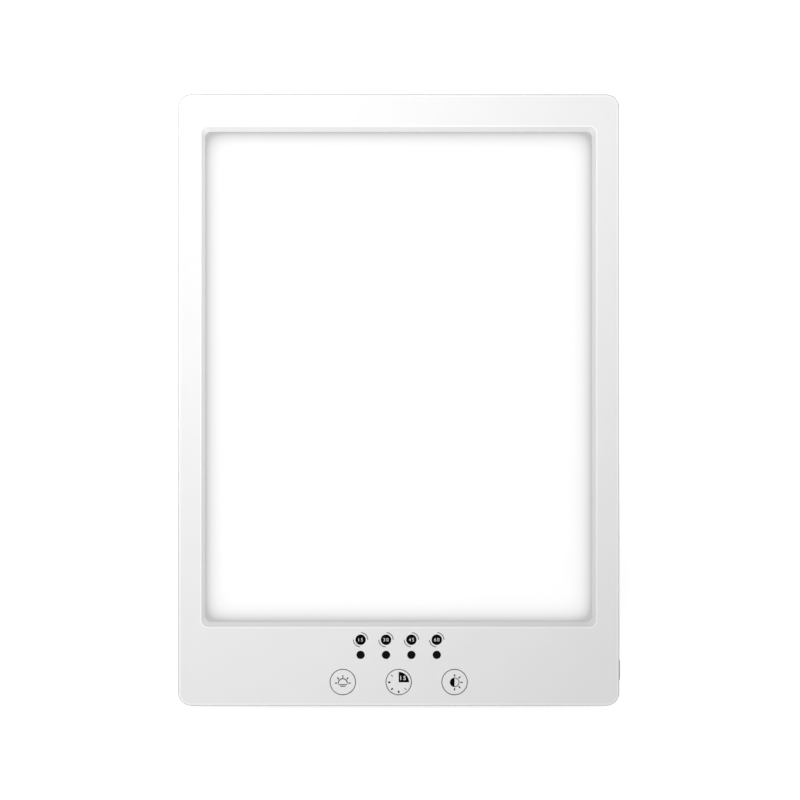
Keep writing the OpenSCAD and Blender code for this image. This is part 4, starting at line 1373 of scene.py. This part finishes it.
class LAMP_OT_stage(bpy.types.Operator):
    """Build the floor, the lights, the world and the camera"""

    bl_idname = "lamp.stage"
    bl_label = "Stage"

    def execute(self, context):
        self.floor()
        self.world()
        for light in LIGHTS:
            self.light(*light)
        self.camera(sizes())
        context.scene.view_settings.view_transform = "Standard"
        return {"FINISHED"}

    def floor(self):
        """A pale floor that looks white away from the lamp and keeps its shadow."""
        bm = bmesh.new()
        bmesh.ops.create_grid(bm, x_segments=1, y_segments=1, size=FLOOR_HALF)
        floor = finish_mesh("floor", bm, Matrix.Identity(4))
        material, tree, shader = principled(
            "pale_floor", Base_Color=(*colours().floor, 1), Roughness=0.9, Specular_IOR_Level=0,
        )
        away = vector_calc(tree, "SUBTRACT", object_place(tree), SHADOW_MIDDLE)
        lift = remap(tree, vector_calc(tree, "LENGTH", away), SHADOW_REACH, (FLOOR_LIFT, 1),
                     interpolation_type="SMOOTHSTEP")
        path = add_node(tree, "ShaderNodeLightPath").outputs
        seen = calc(tree, "MAXIMUM", path["Is Camera Ray"], path["Is Glossy Ray"])
        feed(tree, lift, shader.inputs["Emission Color"])
        feed(tree, seen, shader.inputs["Emission Strength"])
        floor.data.materials.append(material)

    def world(self):
        """A dim white room that the camera, mirrors and clear pieces see as plain white."""
        world = bpy.data.worlds.new("pale_room")
        bpy.context.scene.world = world
        world.use_nodes = True
        tree = world.node_tree
        tree.nodes.clear()
        path = add_node(tree, "ShaderNodeLightPath").outputs
        seen = calc(tree, "MAXIMUM", path["Is Camera Ray"], path["Is Transmission Ray"])
        seen = calc(tree, "MAXIMUM", seen, path["Is Glossy Ray"])
        room, white = (
            add_node(tree, "ShaderNodeBackground", {"Color": (1, 1, 1, 1), "Strength": strength})
            for strength in (ROOM_LIGHT, 1)
        )
        mix = add_node(tree, "ShaderNodeMixShader", (seen, room.outputs[0], white.outputs[0]))
        add_node(tree, "ShaderNodeOutputWorld", {"Surface": mix.outputs[0]})

    def light(self, name, place, target, width, spread, power):
        data = bpy.data.lights.new(name, "AREA")
        data.shape = "SQUARE"
        data.size = width
        data.spread = math.radians(spread)
        data.energy = power
        light = bpy.data.objects.new(name, data)
        aim = Vector(target) - Vector(place)
        light.location = place
        light.rotation_euler = aim.to_track_quat("-Z", "Y").to_euler()
        light.visible_camera = False
        light.visible_glossy = False
        bpy.context.scene.collection.objects.link(light)

    def camera(self, size):
        """Looks square on at the face, as the photograph does."""
        across = size.face_h * FRAME_PX / FACE_PX_H
        distance = across * LENS / SENSOR
        middle = BENCH @ Vector((0, size.face_h / 2, size.body_t))
        data = bpy.data.cameras.new("camera")
        data.lens = LENS
        data.sensor_width = SENSOR
        data.shift_x = (FRAME_PX / 2 - FACE_MIDDLE_PX_X) / FRAME_PX
        data.clip_start = 0.01
        data.clip_end = 50
        camera = bpy.data.objects.new("camera", data)
        camera.matrix_world = (Matrix.Translation(middle + OUT_OF_FACE * distance)
                               @ OUT_OF_FACE.to_track_quat("Z", "Y").to_matrix().to_4x4())
        bpy.context.scene.collection.objects.link(camera)
        bpy.context.scene.camera = camera


OPERATORS = (
    LAMP_OT_stage, LAMP_OT_front_bezel, LAMP_OT_rear_cover, LAMP_OT_feet, LAMP_OT_case_screws,
    LAMP_OT_timer_row, LAMP_OT_touch_keys, LAMP_OT_side_key, LAMP_OT_leg, LAMP_OT_inlet,
    LAMP_OT_inner_pieces,
)


class LAMP_PT_pieces(bpy.types.Panel):
    """Lists the lamp's pieces in the order they are built"""

    bl_idname = "LAMP_PT_pieces"
    bl_label = "Light Therapy Lamp"
    bl_space_type = "VIEW_3D"
    bl_region_type = "UI"
    bl_category = "Lamp"

    def draw(self, context):
        for operator in OPERATORS:
            self.layout.operator(operator.bl_idname)
        for group in (context.scene.lamp_sizes, context.scene.lamp_colours):
            column = self.layout.column(align=True)
            for name in group.__annotations__:
                column.prop(group, name)


CLASSES = (LampSizes, LampColours, *OPERATORS, LAMP_PT_pieces)


def register():
    for kind in CLASSES:
        bpy.utils.register_class(kind)
    bpy.types.Scene.lamp_sizes = PointerProperty(type=LampSizes)
    bpy.types.Scene.lamp_colours = PointerProperty(type=LampColours)


def unregister():
    del bpy.types.Scene.lamp_colours
    del bpy.types.Scene.lamp_sizes
    for kind in reversed(CLASSES):
        bpy.utils.unregister_class(kind)


def main():
    register()
    for operator in OPERATORS:
        family, name = operator.bl_idname.split(".")
        getattr(getattr(bpy.ops, family), name)()


if __name__ == "__main__":
    main()
